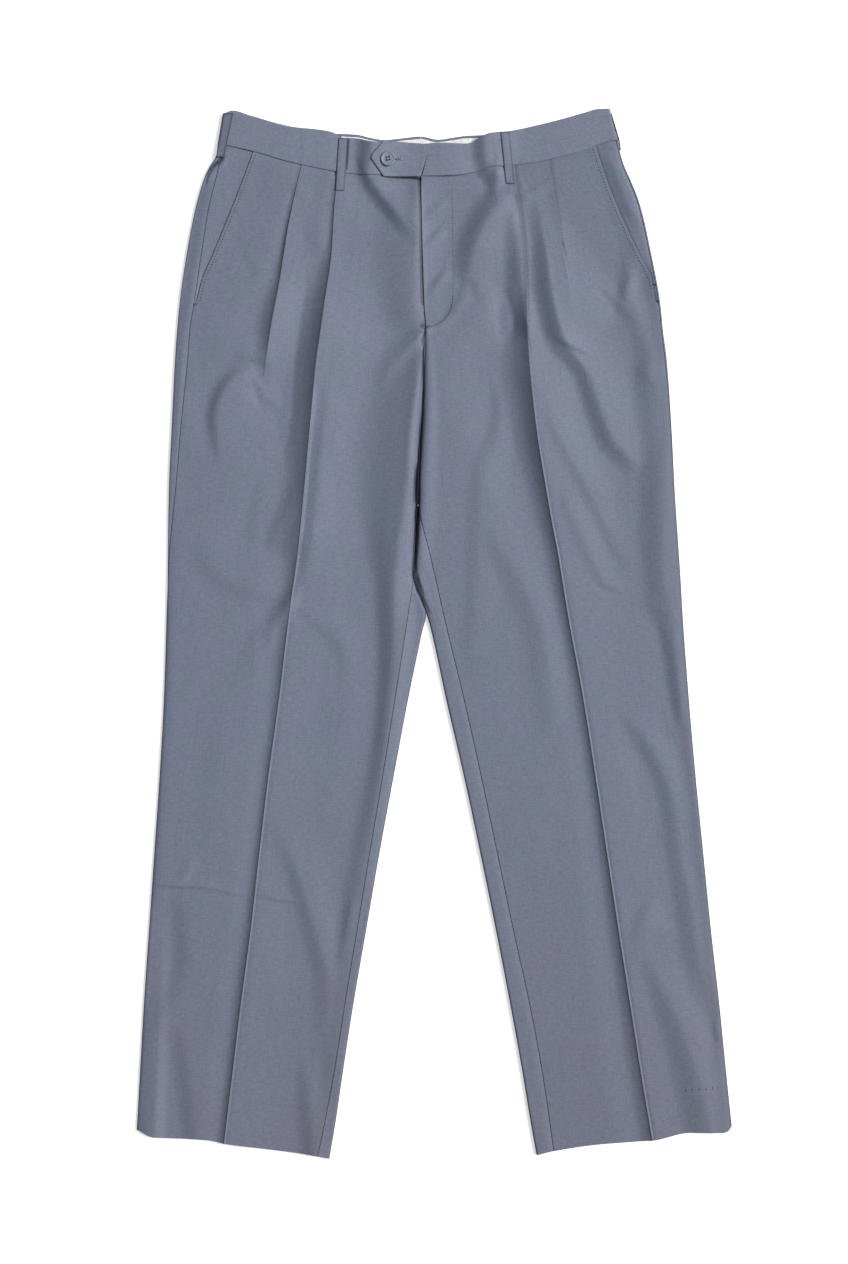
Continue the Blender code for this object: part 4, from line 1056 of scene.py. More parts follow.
def front_panel(side):
    """A front: from the pocket mouth and the side seam, over two pleats, to the fly and the inseam."""
    level = ROW_LEVELS
    along, fold = outer_start(side, level)
    at_pocket = level >= POCKET_Y
    mouth = pocket_mouth(side, level, fold)
    start = np.where(at_pocket, mouth - fold - RADIUS, along)
    lies_under = (side is LEFT) & ~at_pocket
    rim, inset = np.where(lies_under, UNDER, OVER), np.where(lies_under, UNDER_INSET, OVER_INSET)
    u, z, angle = round_fold(fold, start + rim, inset)
    z = z + at_pocket * side.pocket_lift(level) * (1 - ease(rim / LIFT_REACH))
    pieces = [(u, z, angle)]

    outer_fold = OUTER_PLEAT_FOLD if side is RIGHT else LEFT_OUTER_PLEAT_FOLD
    pleats = ((side.pleat, outer_fold), (side.crease, INNER_PLEAT_FOLD))
    last_high = TOP
    for (line, folds), count in zip(pleats, BEFORE_PLEATS):
        pleat_u, pleat_z, pleat_angle, high = pleat_stretch(side, level, line, folds)
        before = pieces[-1][0][:, -1:]
        fill_u = between(before, pleat_u[:, :1], count)
        pieces.append((fill_u, settling(fill_u - before, last_high), np.full(fill_u.shape, UP)))
        pieces.append((pleat_u, pleat_z, pleat_angle))
        last_high = high

    inner = -side.meet(side.inner, level)
    below_fly = ease((FLY_FOOT - level) / CURL_OVER)
    if side is RIGHT:
        inner = inner + fly_under(level)
        under = ease((RIGHT_UNDER_Y - level) / RIGHT_UNDER_OVER)
        curled = below_fly * (1 - under)
    else:
        under = below_fly * ease((level - side.turn_level) / LEFT_UNDER_OVER)
        curled = 0 * level
    rim = mix(OVER, UNDER, under)[:, ::-1]
    inset = mix(mix(OVER_INSET, CURLED_INSET, curled), UNDER_INSET, under)[:, ::-1]
    end_u = inner - rim
    before = pieces[-1][0][:, -1:]
    tail = np.concatenate([between(before, end_u[:, :1], INNER_COLUMNS), end_u], axis=1)
    tail_z = settling(tail - before, last_high) + side.lap(level) * (1 - ease((inner - tail) / LAP_REACH))
    tail_z[:, -rim.shape[1]:] -= inset
    pieces.append((tail, tail_z, np.full(tail.shape, UP)))

    u, z, angle = (np.concatenate([p[i] for p in pieces], axis=1) for i in range(3))
    z = z - waist_inset(level)
    crease_column = sum(p[0].shape[1] for p in pieces[:4]) + SLOPE_STEPS + 2 * TURN_STEPS
    points, facing = grid_of(side, u, z, angle, level, side.row_y, 1.0)
    uv = across_uv(points, crease_column, level)
    # Painted shade: the cloth is drawn darker on its turns round the folds, along the leg's border and in
    # the slits.
    if side is LEFT:
        turned = angle
        border = BORDER_SHADE * profile((u - fold) / BORDER, ROUND)
    else:
        turned = np.where(np.arange(angle.shape[1]) < OVER.size, angle, UP)
        border = BORDER_SHADE * profile((inner - u) / BORDER, ROUND) * ease((FORK_Y - level) / BORDER_OVER)
    pressed = np.maximum(painted_turn_shade(turned), border)
    pressed = np.maximum(pressed, slit_shade(points[..., 0], points[..., 1]))
    piece = shell(f"front_panel_{side.name}", points, facing, CLOTH, wool, uv, pressed)
    return worn(piece, f"front_{side.name}")


def turn_points(end, columns, over):
    """Distances round a tube's fold, from the floor to a seam, and how deep the cloth lies there."""
    first, second = columns
    rim, depth = (OVER, OVER_INSET) if over else (UNDER, UNDER_INSET)
    start = end - rim[TURNED_RIM - 1]
    turn = np.minimum(0, start - SEAM_STEP)
    lower = mix(-math.pi * RADIUS, turn, steps_to(first))
    middle = mix(turn, start, steps_to(second - TURNED_RIM))
    way = np.concatenate([lower, middle, end - rim[:TURNED_RIM][::-1]], axis=1)
    return way, np.interp(end - way, rim, depth)


def back_panel(side):
    """A back: flat on the floor, turned up round both folds of the leg."""
    level = ROW_LEVELS
    touching = ease((level - TOUCH_LOW) / TOUCH_OVER) * ease((TOUCH_HIGH - level) / TOUCH_OVER)
    fold = side.meet(side.fold_in, level) + mix(GAP / 2, TOUCH, touching)
    inside = side.meet(side.inner, level) - fold
    over = side is RIGHT
    way, inset = turn_points(seam_along(np.maximum(inside, 0)), INNER_TURN, over)
    u, z, angle = round_fold(0, way, inset)
    turned_u, turned_z, turned_angle = (a[:, ::-1] for a in (-fold - u, z, 2 * UP - angle))
    flat_u = -side.meet_rise(level) - GAP / 2 - np.arange(sum(INNER_TURN)) * SEAM_STEP
    if side is RIGHT:
        flat_u = flat_u + SEAM_UNDER * ease((LEFT.turn_level + TURN_UP - level) / TURN_UP)
    share = ease((side.turn_level + TURN_UP - level) / TURN_UP)
    rim_u = mix(flat_u, turned_u, share)
    rim_z = mix(CLOTH / 2, turned_z, share)
    rim_angle = mix(DOWN, turned_angle, share)

    along, fold_out = outer_start(side, level)
    way, inset = turn_points(along, OUTER_TURN, not over)
    out_u, out_z, out_angle = round_fold(fold_out, way, inset)
    floor_u = between(rim_u[:, -1:], out_u[:, :1], FLOOR_COLUMNS)
    u = np.concatenate([rim_u, floor_u, out_u], axis=1)
    z = np.concatenate([rim_z, np.full(floor_u.shape, CLOTH / 2), out_z], axis=1)
    angle = np.concatenate([rim_angle, np.full(floor_u.shape, DOWN), out_angle], axis=1)
    raised = np.clip(np.sin(np.radians(angle)), 0, 1) ** 2
    points, facing = grid_of(side, u, z, angle, level, side.back_y, raised)
    uv = across_uv(points, rim_u.shape[1] + FLOOR_COLUMNS // 2, level)
    # Painted shade on the turns round the folds and in the slits.
    slit = slit_shade(points[..., 0], points[..., 1]) * (angle < 2 * UP)
    pressed = np.maximum(painted_turn_shade(angle), slit)
    piece = shell(f"back_panel_{side.name}", points, facing, CLOTH, wool, uv, pressed)
    return worn(piece, f"back_{side.name}")


def pocket_facing(side):
    """The facing in a pocket opening, from the side seam to under the front."""
    level = ROW_LEVELS[ROW_LEVELS[:, 0] >= POCKET_Y]
    along, fold = outer_start(side, level)
    mouth = pocket_mouth(side, level, fold)
    rim, inset = (UNDER, UNDER_INSET) if side is LEFT else (OVER, OVER_INSET)
    first, _, _ = round_fold(fold, along)
    near_u, near_z, near_angle = round_fold(fold, along + rim[:SHORT_RIM], inset[:SHORT_RIM])
    far = np.maximum(mouth + FACING_UNDER, near_u[:, -1:] + FACING_LEAST)
    rest_u = mix(near_u[:, -1:], far, np.linspace(0, 1, FACING_COLUMNS + 1)[1:])
    u = np.concatenate([near_u, rest_u], axis=1)
    z = np.concatenate([near_z, TOP - np.interp(rest_u - first, rim, inset)], axis=1)
    angle = np.concatenate([near_angle, np.full(rest_u.shape, UP)], axis=1)
    z = z - FACING_SINK * ease((u - first) / np.maximum(mouth - SINK_CLEAR - first, SINK_CLEAR))
    if side is LEFT:
        z = z - MOUTH_SINK * ease((u - mouth + MOUTH_SLOPE) / MOUTH_SLOPE)
    z = z - waist_inset(level)
    points, facing = grid_of(side, u, z, angle, level, side.row_y, 1.0)
    piece = shell(f"pocket_facing_piece_{side.name}", points, facing, CLOTH, wool)
    return worn(piece, f"pocket_facing_{side.name}")


# ---------------------------------------------------------------------------------------------
# Waistband, loops and button
# ---------------------------------------------------------------------------------------------

EDGE_ROLL = 0.4         # a folded edge is rounded down by this
EDGE_WIDTH = 1.8
SMALL_EDGE = 1.2        # width of the same on the loops and the lining
BAND_FOOT_ROLL = 0.3
BAND_SHARES = np.array([
    0, 0.008, 0.02, 0.04, 0.07, 0.13, 0.25, 0.37, 0.5, 0.63, 0.75, 0.87, 0.93, 0.96, 0.98, 0.992, 1.0,
])[::-1, None]
BAND_DEPTH = 35.0
BAND_BACK, BAND_TURN, BAND_FRONT = 40, 15, 120      # columns on each stretch of a waistband
TAB_COLUMNS = 41
TAB_CROWDED = 0.5       # how much closer the columns lie at the tab's ends
TAB_DIP = 0.08          # the tab's end is a little lower
TAB_DIP_OVER = 1.2
LINING_DROP = 2.8       # bare edge of the back waistband above its lining
LINING_DEPTH = 20.0
LINING_CLOTH = 0.5
LINING_STANDS = 0.75
LINING_X = (-97, 57)
LINING_COLUMNS, LINING_ROWS = 160, 14
LINING_ROLL = 0.3
# Size, height and seed of the lining's wavy edge and of its crumples.
LINING_WAVES = (7, 0.35, 5)
LINING_CRUMPLES = ((3.4, 0.35, 21), (8, 0.3, 22))
LOOP_CLOTH = 0.7
LOOP_ROWS = 41
LOOP_CROWDED = 0.4
LOOP_ACROSS = np.array([-0.5, -0.47, -0.42, -0.34, -0.2, -0.07, 0.07, 0.2, 0.34, 0.42, 0.47, 0.5])
LOOP_STANDS = 0.1       # over what it is sewn on
LOOP_SWELL = 0.15       # the loop's middle stands off the waistband
LOOP_SWELL_OVER = 13.0
LOOP_CROWN = 0.15
LOOP_ROLL = 0.45
CLIMB_FROM = 4.0        # a loop climbs on the waistband from this far under its seam
CLIMB_OVER = 6.0
LOOP_OUTLINE_SHADE = 1.0
LOOP_RIM = 2.0
LOOP_SLIT = 0.6         # width of the painted shadow along a loop's edges
LOOP_EDGE = 0.06        # the same as a share of the loop's width
EDGE_STITCH_DIP = 0.12
EDGE_STITCH_IN = 1.4
EDGE_STITCH_REACH = 0.8
# Middle of the top end and of the foot, width, and the shares of its length that give where each edge gets a
# painted shadow: the edge on -X from that share down, the other from the top to that share.
FRONT_LOOPS = {
    "right": ((-95, 520.4), (-98.7, 464.6), 10, 0.55, 0.6),
    "left": ((74.5, 526.4), (80.2, 472), 9.6, 0, -1),
}
# Painted shade over the whole of a side loop.
SIDE_LOOP_SHADE = 0.16
SIDE_LOOP_STANDS = 0.15
SIDE_LOOP_ROWS, SIDE_LOOP_TURN, SIDE_LOOP_RUN = 36, 15, 8
SIDE_LOOP_SWELL = 0.5
SIDE_LOOP_SWELL_OVER = 20.0
# Place of the waistband's fold, where the loop comes out from under it and how far it runs on inwards.
RIGHT_SIDE_LOOP = table(
    "y centre first run",
    (546, -217.9, 175, 7.4), (530, -220.6, 172, 7), (516, -223.1, 155, 6.4), (508, -225, 128, 6.4),
    (500, -227, 112, 7),
)
LEFT_SIDE_LOOP = table(
    "y centre first run",
    (546, 183.2, 213, 0), (530, 187.8, 213, 0), (518, 191.3, 213, 0), (508, 192.7, 213, 0),
)
# The button's profile, as distances in from its rim and heights.
BUTTON_WELL = 0.5
BUTTON_PROFILE = (
    (1.8, 0), (0.8, 0.35), (0.2, 1.0), (0, 1.5), (0.15, 2.0), (0.5, BUTTON_THICK - 0.2), (1.0, BUTTON_THICK),
    (1.5, BUTTON_THICK - 0.12), (2.0, BUTTON_THICK - 0.3), (2.5, BUTTON_THICK - BUTTON_WELL),
    (3.2, BUTTON_THICK - BUTTON_WELL - 0.05),
)
BUTTON_SIDES = 72
HOLE_SIDES = 24


def rolled(away, width=EDGE_WIDTH, depth=EDGE_ROLL):
    """How far a cloth is rounded down at a distance from its folded edge."""
    return -depth * (1 - np.sqrt(1 - (1 - np.clip(away / width, 0, 1)) ** 2))


def band_lift(side, x):
    """How far the left waistband is lifted where it runs towards the tab."""
    if side is RIGHT:
        return 0 * x
    near, far = BAND_LAP_X
    return BAND_LAP * (1 - ease((x - near) / (far - near)))


def waistband(side, folds, end):
    """Half of the waistband: from the centre back, round the side, to its front end.

    folds and end are the places of its side fold and of its end, at its lower and its upper edge.
    """
    share = BAND_SHARES
    radius = BAND_TUBE / 2
    turn_from = mix(folds[1], folds[0], share) - side.sign * radius
    stop = mix(end[1], end[0], share)
    floor_x = mix(MIDDLE_X + side.sign * GAP / 2, turn_from, steps_to(BAND_BACK))
    turns = np.radians(np.linspace(DOWN, UP, BAND_TURN))
    turn_x = turn_from - side.sign * (radius - BAND_CLOTH / 2) * np.cos(turns)
    front_x = mix(turn_from, stop, np.linspace(0, 1, BAND_FRONT + 1)[1:])
    x = np.concatenate([floor_x, turn_x, front_x], axis=1)
    round_turn = np.ones(share.shape) * np.degrees(turns)
    angle = np.concatenate([np.full(floor_x.shape, DOWN), round_turn, np.full(front_x.shape, UP)], axis=1)
    turn = np.radians(angle)
    z = radius + (radius - BAND_CLOTH / 2) * np.sin(turn)
    front = (1 + np.sin(turn)) / 2
    seam = mix(side.back_seam(side.sign * x), waist_seam(x), front) + WAIST_GAP / 2
    top = mix(back_top(x), front_top(x), front)
    y = mix(seam, top, share)
    lift = lie(x, y) + band_lift(side, x)
    roll = rolled(share * BAND_DEPTH, depth=BAND_FOOT_ROLL) + rolled((1 - share) * BAND_DEPTH)
    z = z + front ** 2 * lift + roll * np.sin(turn)
    points = np.stack([x, y, z], axis=-1)
    facing = np.stack([-side.sign * np.cos(turn), np.sin(turn)], axis=-1)
    uv = across_uv(points, 0, share * BAND_DEPTH)[..., ::-1]
    shade = slit_shade(x, y) * (angle == UP)
    piece = shell(f"waistband_piece_{side.name}", points, facing, BAND_CLOTH, wool_with_painted_sheen, uv, shade)
    return worn(piece, f"waistband_{side.name}")


def upward(points):
    """Directions of a piece that faces straight up."""
    facing = np.zeros(points.shape[:2] + (2,))
    facing[..., 1] = 1
    return facing


def crowded(count, share):
    """Steps from 0 to 1 that lie closer near both ends."""
    steps = np.linspace(0, 1, count)
    return mix(steps, ease(steps), share)


def waistband_tab():
    """The pointed extension that the left waistband buttons across with."""
    up = BAND_SHARES
    plain_y = mix(TAB_LEFT["y"][0], TAB_LEFT["y"][-1], up)
    left, right = straight(TAB_LEFT, "x")(plain_y), straight(TAB_RIGHT, "x")(plain_y)
    x = mix(left, right, crowded(TAB_COLUMNS, TAB_CROWDED))
    y = mix(straight(TAB_LOWER, "y")(x), straight(TAB_UPPER, "y")(x), up)
    z = TAB_TOP - BAND_CLOTH / 2 + lie(x, y)
    z = z + rolled(up * BAND_DEPTH) + rolled((1 - up) * BAND_DEPTH) + rolled(x - left)
    z = z - TAB_DIP * (1 - ease((right - x) / TAB_DIP_OVER))
    points = np.stack([x, y, z], axis=-1)
    uv = np.stack([y, x], axis=-1)
    piece = shell("waistband_tab_piece", points, upward(points), BAND_CLOTH, wool_with_painted_sheen, uv)
    return worn(piece, "waistband_tab")


def waistband_lining():
    """The lining of the back waistband, where it shows above the front."""
    x = np.linspace(*LINING_X, LINING_COLUMNS)[None, :]
    drop = np.linspace(0, LINING_DEPTH, LINING_ROWS)[:, None]
    size, height, seed = LINING_WAVES
    y = back_top(x) - LINING_DROP - drop + height * unevenness(x + LATTICE_FROM, drop, size, seed)
    crumple = sum(
        height * unevenness(x + LATTICE_FROM, y + LATTICE_FROM, size, seed)
        for size, height, seed in LINING_CRUMPLES
    )
    z = BAND_CLOTH + LINING_CLOTH / 2 + LINING_STANDS + crumple + rolled(drop, SMALL_EDGE, LINING_ROLL)
    points = np.stack([x + 0 * z, y + 0 * z, z], axis=-1)
    piece = shell("waistband_lining_piece", points, upward(points), LINING_CLOTH, lining_cotton)
    return worn(piece, "waistband_lining")


def front_loop(name, node, top, foot, width, left_from, right_to):
    """A belt loop over the waistband, given by the middle of its top end and foot.

    Its rims are drawn darker as painted shade, and a painted shadow lies along its foot, along its
    edge on -X from the share left_from of its length down, and along the other from the top to the
    share right_to.
    """
    share = crowded(LOOP_ROWS, LOOP_CROWDED)[:, None]
    across = LOOP_ACROSS
    x = mix(top[0], foot[0], share) + across * width
    y = mix(top[1], foot[1], share) + 0 * across
    length = top[1] - foot[1]
    on_band = ease((y - waist_seam(x) + CLIMB_FROM) / CLIMB_OVER)
    seat = mix(TUBE, BAND_TUBE, on_band) + LOOP_STANDS + LOOP_CLOTH / 2
    ends = np.minimum(share, 1 - share) * length
    sides = (0.5 - np.abs(across)) * width
    z = seat + LOOP_SWELL * ease(ends / LOOP_SWELL_OVER) + LOOP_CROWN * (1 - (2 * across) ** 2)
    z = z + rolled(sides, SMALL_EDGE, LOOP_ROLL) + rolled(ends + 0 * across, SMALL_EDGE, LOOP_ROLL)
    off_stitch = np.abs(across) * width - width / 2 + EDGE_STITCH_IN
    z = z - EDGE_STITCH_DIP * profile(np.abs(off_stitch) / EDGE_STITCH_REACH, ROUND)
    z = z + lie(x, y)
    points = np.stack([x, y, z], axis=-1)
    # Painted shade round the rims, and a painted shadow along the foot and the chosen edges.
    pressed = LOOP_OUTLINE_SHADE * profile(np.minimum(sides, ends) / LOOP_RIM, ROUND)
    on_left = (0.5 + across < LOOP_EDGE) & (share >= left_from)
    on_right = (0.5 - across < LOOP_EDGE) & (share <= right_to)
    at_foot = (1 - share) * length < LOOP_SLIT
    pressed = np.where(on_left | on_right | at_foot, EDGE_DEEP, pressed)
    uv = np.stack([x - top[0], y], axis=-1)
    piece = shell(name, points, upward(points), LOOP_CLOTH, wool, uv, pressed)
    return worn(piece, node)


def side_loop(side, stations, last):
    """A belt loop round the waistband's side fold, up to the angle last."""
    y = np.linspace(stations["y"][-1], stations["y"][0], SIDE_LOOP_ROWS)[:, None]
    centre, first, run = (curve(stations, key)(y) for key in ("centre", "first", "run"))
    radius = BAND_TUBE / 2 + SIDE_LOOP_STANDS + LOOP_CLOTH / 2
    turns = np.radians(mix(first, last, np.linspace(0, 1, SIDE_LOOP_TURN)))
    x = centre - side.sign * np.cos(turns) * radius
    z = BAND_TUBE / 2 + np.sin(turns) * radius
    facing = np.stack([-side.sign * np.cos(turns), np.sin(turns)], axis=-1)
    if run.max() > 0:
        steps = run * np.linspace(0, 1, SIDE_LOOP_RUN + 1)[1:]
        x = np.concatenate([x, x[:, -1:] - side.sign * steps], axis=1)
        z = np.concatenate([z, z[:, -1:] + 0 * steps], axis=1)
        facing = np.concatenate([facing, upward(steps)], axis=1)
    y = y + 0 * x
    z = z + SIDE_LOOP_SWELL * profile(np.abs(y - y.mean()) / SIDE_LOOP_SWELL_OVER, ROUND) * facing[..., 1]
    points = np.stack([x, y, z], axis=-1)
    # Painted shade: the whole loop is drawn a little darker, its rims more, with a painted shadow along its
    # edges.
    rim = np.minimum(np.abs(x - x[:, -1:]), np.minimum(np.abs(y - y[0]), np.abs(y[-1] - y)))
    pressed = np.maximum(SIDE_LOOP_SHADE, LOOP_OUTLINE_SHADE * profile(rim / LOOP_RIM, ROUND))
    pressed = np.where(rim < LOOP_SLIT, DEEP, pressed)
    uv = np.stack([x, y], axis=-1)
    piece = shell(f"side_loop_{side.name}", points, facing, LOOP_CLOTH, wool, uv, pressed)
    return worn(piece, f"belt_loop_side_{side.name}")


def button():
    """A four-hole button with a raised rim."""
    radius = BUTTON_SIZE / 2
    well = BUTTON_THICK - BUTTON_WELL
    line = [(0, 0), *((radius - inwards, height) for inwards, height in BUTTON_PROFILE), (0, well + 0.05)]
    mesh = bmesh.new()
    corners = [mesh.verts.new((r * MM, 0, h * MM)) for r, h in line]
    edges = [mesh.edges.new(pair) for pair in zip(corners, corners[1:])]
    bmesh.ops.spin(mesh, geom=corners + edges, cent=(0, 0, 0), axis=(0, 0, 1), angle=math.tau,
                   steps=BUTTON_SIDES, use_merge=True)
    bmesh.ops.remove_doubles(mesh, verts=mesh.verts, dist=1e-6)
    bmesh.ops.recalc_face_normals(mesh, faces=mesh.faces)
    data = bpy.data.meshes.new("button_blank")
    mesh.to_mesh(data)
    mesh.free()
    blank = piece_of("button_blank", data, polished_button)

    drills = bmesh.new()
    hole = HOLE_SIZE / 2 * MM
    for across in (-0.5, 0.5):
        for along in (-0.5, 0.5):
            made = bmesh.ops.create_cone(drills, cap_ends=True, segments=HOLE_SIDES, radius1=hole,
                                         radius2=hole, depth=4 * BUTTON_THICK * MM)
            place = Vector((across * HOLE_SPREAD, along * HOLE_SPREAD, 0)) * MM
            bmesh.ops.translate(drills, verts=made["verts"], vec=place)
    data = bpy.data.meshes.new("button_drills")
    drills.to_mesh(data)
    drills.free()
    drill = piece_of("button_drills", data, polished_button)
    cut = blank.modifiers.new("holes", "BOOLEAN")
    cut.object = drill
    bpy.context.view_layer.update()
    drilled = bpy.data.meshes.new_from_object(blank.evaluated_get(bpy.context.evaluated_depsgraph_get()))
    bpy.data.objects.remove(blank)
    bpy.data.objects.remove(drill)
    x, y = BUTTON_AT
    height = TAB_TOP + BUTTON_STANDS + float(lie(np.array([x]), np.array([y]))[0])
    place = Matrix.Translation((x * MM, y * MM, height * MM))
    drilled.transform(place @ Matrix.Rotation(BUTTON_TURN, 4, "Z"))
    drilled.materials.clear()
    return worn(piece_of("four_hole_button", drilled, polished_button), "button")


# ---------------------------------------------------------------------------------------------
# Materials
# ---------------------------------------------------------------------------------------------

FLOOR_GLOW = 0.55

def colour(code):
    """A colour's linear values from its sRGB hex code."""
    parts = [int(code[i:i + 2], 16) / 255 for i in (1, 3, 5)]
    return (*(p / 12.92 if p <= 0.04045 else ((p + 0.055) / 1.055) ** 2.4 for p in parts), 1.0)


def new_material(name):
    """An empty material and its node tree."""
    material = bpy.data.materials.new(name)
    material.use_nodes = True
    tree = material.node_tree
    tree.nodes.clear()
    return material, tree


def node(tree, kind, inputs=None, **settings):
    """Adds a node. inputs maps a socket's name or number to a value or to another node's output."""
    made = tree.nodes.new(kind)
    for name, value in settings.items():
        setattr(made, name, value)
    for place, value in (inputs or {}).items():
        if isinstance(value, bpy.types.NodeSocket):
            tree.links.new(value, made.inputs[place])
        else:
            made.inputs[place].default_value = value
    return made


def scaled(tree, uv, across, along):
    """The place on the flat cloth, in grains of that size."""
    return node(tree, "ShaderNodeMapping", {"Vector": uv, "Scale": (1 / across, 1 / along, 1.0)}).outputs[0]


def noise(tree, place, detail, scale=1.0, flat=True, **more):
    values = {"Vector": place, "Scale": scale, "Detail": detail, **more}
    return node(tree, "ShaderNodeTexNoise", values, noise_dimensions="2D" if flat else "3D").outputs[0]


def spread(tree, value, low, high, to_high=1.0):
    """0 to to_high as the value goes from low to high."""
    limits = {"Value": value, "From Min": low, "From Max": high, "To Min": 0.0, "To Max": to_high}
    return node(tree, "ShaderNodeMapRange", limits).outputs[0]


def blended(tree, share, first, second, mode="MIX"):
    inputs = {0: share, 6: first, 7: second}
    return node(tree, "ShaderNodeMix", inputs, data_type="RGBA", blend_type=mode).outputs[2]


def bumped(tree, height, strength, distance):
    inputs = {"Height": height, "Strength": strength, "Distance": distance}
    return node(tree, "ShaderNodeBump", inputs).outputs[0]


def finished(tree, inputs):
    """Ends a material with a surface of those properties."""
    shader = node(tree, "ShaderNodeBsdfPrincipled", inputs)
    node(tree, "ShaderNodeOutputMaterial", {"Surface": shader.outputs[0]})


def worsted_wool(name, light, dark, cool):
    """Worsted wool, woven as a fine twill and pressed: matt, with a faint grain, a few thicker threads
    and a slight change of hue as in cloth woven from two colours. Shade is painted in at turns, edges
    and slits, and the lower legs carry painted light."""
    material, tree = new_material(name)
    uv = node(tree, "ShaderNodeUVMap", uv_map="cloth").outputs["UV"]
    place = node(tree, "ShaderNodeTexCoord").outputs["Object"]

    # Threads run 0.5 mm apart in the real cloth, too fine to show, so the grain is drawn 1.3 mm wide.
    warp = noise(tree, scaled(tree, uv, 0.0013, 0.0055), 2.0, Roughness=0.6)
    weft = noise(tree, scaled(tree, uv, 0.0070, 0.0015), 2.0, Roughness=0.6)
    weave = node(tree, "ShaderNodeMath", {0: warp, 1: weft}, operation="ADD").outputs[0]
    # Thicker threads, drawn 1.6 mm wide and about 60 mm long.
    slubs = noise(tree, scaled(tree, uv, 0.0016, 0.060), 1.0)
    # Clouds of hue and tone, 45 mm across, as pressing leaves them.
    clouds = noise(tree, place, 3.0, scale=1 / 0.045, flat=False, Roughness=0.55)
    base = blended(tree, spread(tree, clouds, 0.35, 0.65), colour(light), colour(cool))
    grained = blended(tree, spread(tree, weave, 0.6, 1.4, 0.62), base, colour(dark))
    dyed = blended(tree, spread(tree, slubs, 0.62, 0.75, 0.25), grained, colour(dark))
    # Painted shade: the cloth is drawn darker on the turned sides of the legs and loops, along the legs'
    # borders and round the loops' rims.
    folded = node(tree, "ShaderNodeAttribute", attribute_name="painted_shade").outputs["Fac"]
    sides = blended(tree, spread(tree, folded, 0.0, 0.6, 0.7), dyed, colour("#3b3f4c"))
    # Painted shade: the slits between layers are drawn near black, as hardly any light comes back from them.
    slits = blended(tree, spread(tree, folded, 1.0, DEEP, 0.85), sides, colour("#1a1c24"))
    # Painted light: the lower legs are drawn greyer and a little darker, from the knee to the hem, for how
    # the light falls on them.
    heights = node(tree, "ShaderNodeSeparateXYZ", {0: place}).outputs["Y"]
    low = spread(tree, heights, -0.1, -0.5)
    lower_legs_painted_light = blended(tree, low, slits, (0.965, 0.92, 0.885, 1), mode="MULTIPLY")
    finished(tree, {
        "Base Color": lower_legs_painted_light, "Normal": bumped(tree, weave, 0.5, 0.00012), "Roughness": 0.62,
        "Specular IOR Level": 0.35, "Sheen Weight": 0.12, "Sheen Roughness": 0.45,
        "Sheen Tint": colour("#b9c0d6"),
    })
    return material


def woven_lining(name):
    """Off-white cotton lining, plain weave and unpressed: matt, with soft grey crumples."""
    material, tree = new_material(name)
    uv = node(tree, "ShaderNodeUVMap", uv_map="cloth").outputs["UV"]
    weave = noise(tree, scaled(tree, uv, 0.0012, 0.0012), 2.0)
    base = blended(tree, spread(tree, weave, 0.35, 0.65), colour("#f6f5f0"), colour("#dfdfdc"))
    finished(tree, {
        "Base Color": base, "Normal": bumped(tree, weave, 0.6, 0.0003), "Roughness": 0.8,
        "Specular IOR Level": 0.3,
    })
    return material


def polyester_button(name):
    """Cast polyester made to look like horn, turned and polished: blue-grey with faint clouds and a
    soft highlight round its rim."""
    material, tree = new_material(name)
    place = node(tree, "ShaderNodeTexCoord").outputs["Object"]
    clouds = noise(tree, place, 3.0, scale=1 / 0.004, flat=False, Distortion=1.2)
    base = blended(tree, spread(tree, clouds, 0.35, 0.7), colour("#787e90"), colour("#8d93a5"))
    finished(tree, {
        "Base Color": base, "Roughness": 0.5, "Specular IOR Level": 0.35, "Coat Weight": 0.1,
        "Coat Roughness": 0.3,
    })
    return material


def sewing_thread(name, code):
    """Twisted polyester sewing thread: a little shinier than the cloth."""
    material, tree = new_material(name)
    place = node(tree, "ShaderNodeTexCoord").outputs["Object"]
    twist = noise(tree, place, 1.0, scale=1 / 0.0006, flat=False)
    finished(tree, {
        "Base Color": colour(code), "Normal": bumped(tree, twist, 0.5, 0.00008), "Roughness": 0.5,
        "Sheen Weight": 0.1,
    })
    return material


def studio_floor(name):
    """Seamless white backdrop, lit so that it shows pure white."""
    material, tree = new_material(name)
    finished(tree, {
        "Base Color": colour("#e8e8e8"), "Roughness": 0.9, "Specular IOR Level": 0.0,
        "Emission Color": (1, 1, 1, 1), "Emission Strength": FLOOR_GLOW,
    })
    return material


wool = worsted_wool("worsted wool", light="#787c92", dark="#5a6075", cool="#737e91")
# Painted sheen: the waistband and tab cloth is drawn in lighter colours, for the sheen of cloth cut across
# the grain.
wool_with_painted_sheen = worsted_wool("worsted wool across the grain", light="#7d8197", dark="#5f657a", cool="#788396")
lining_cotton = woven_lining("cotton lining")
polished_button = polyester_button("polished polyester")
thread = sewing_thread("sewing thread", "#3c4050")

# ---------------------------------------------------------------------------------------------
# The garment
# ---------------------------------------------------------------------------------------------

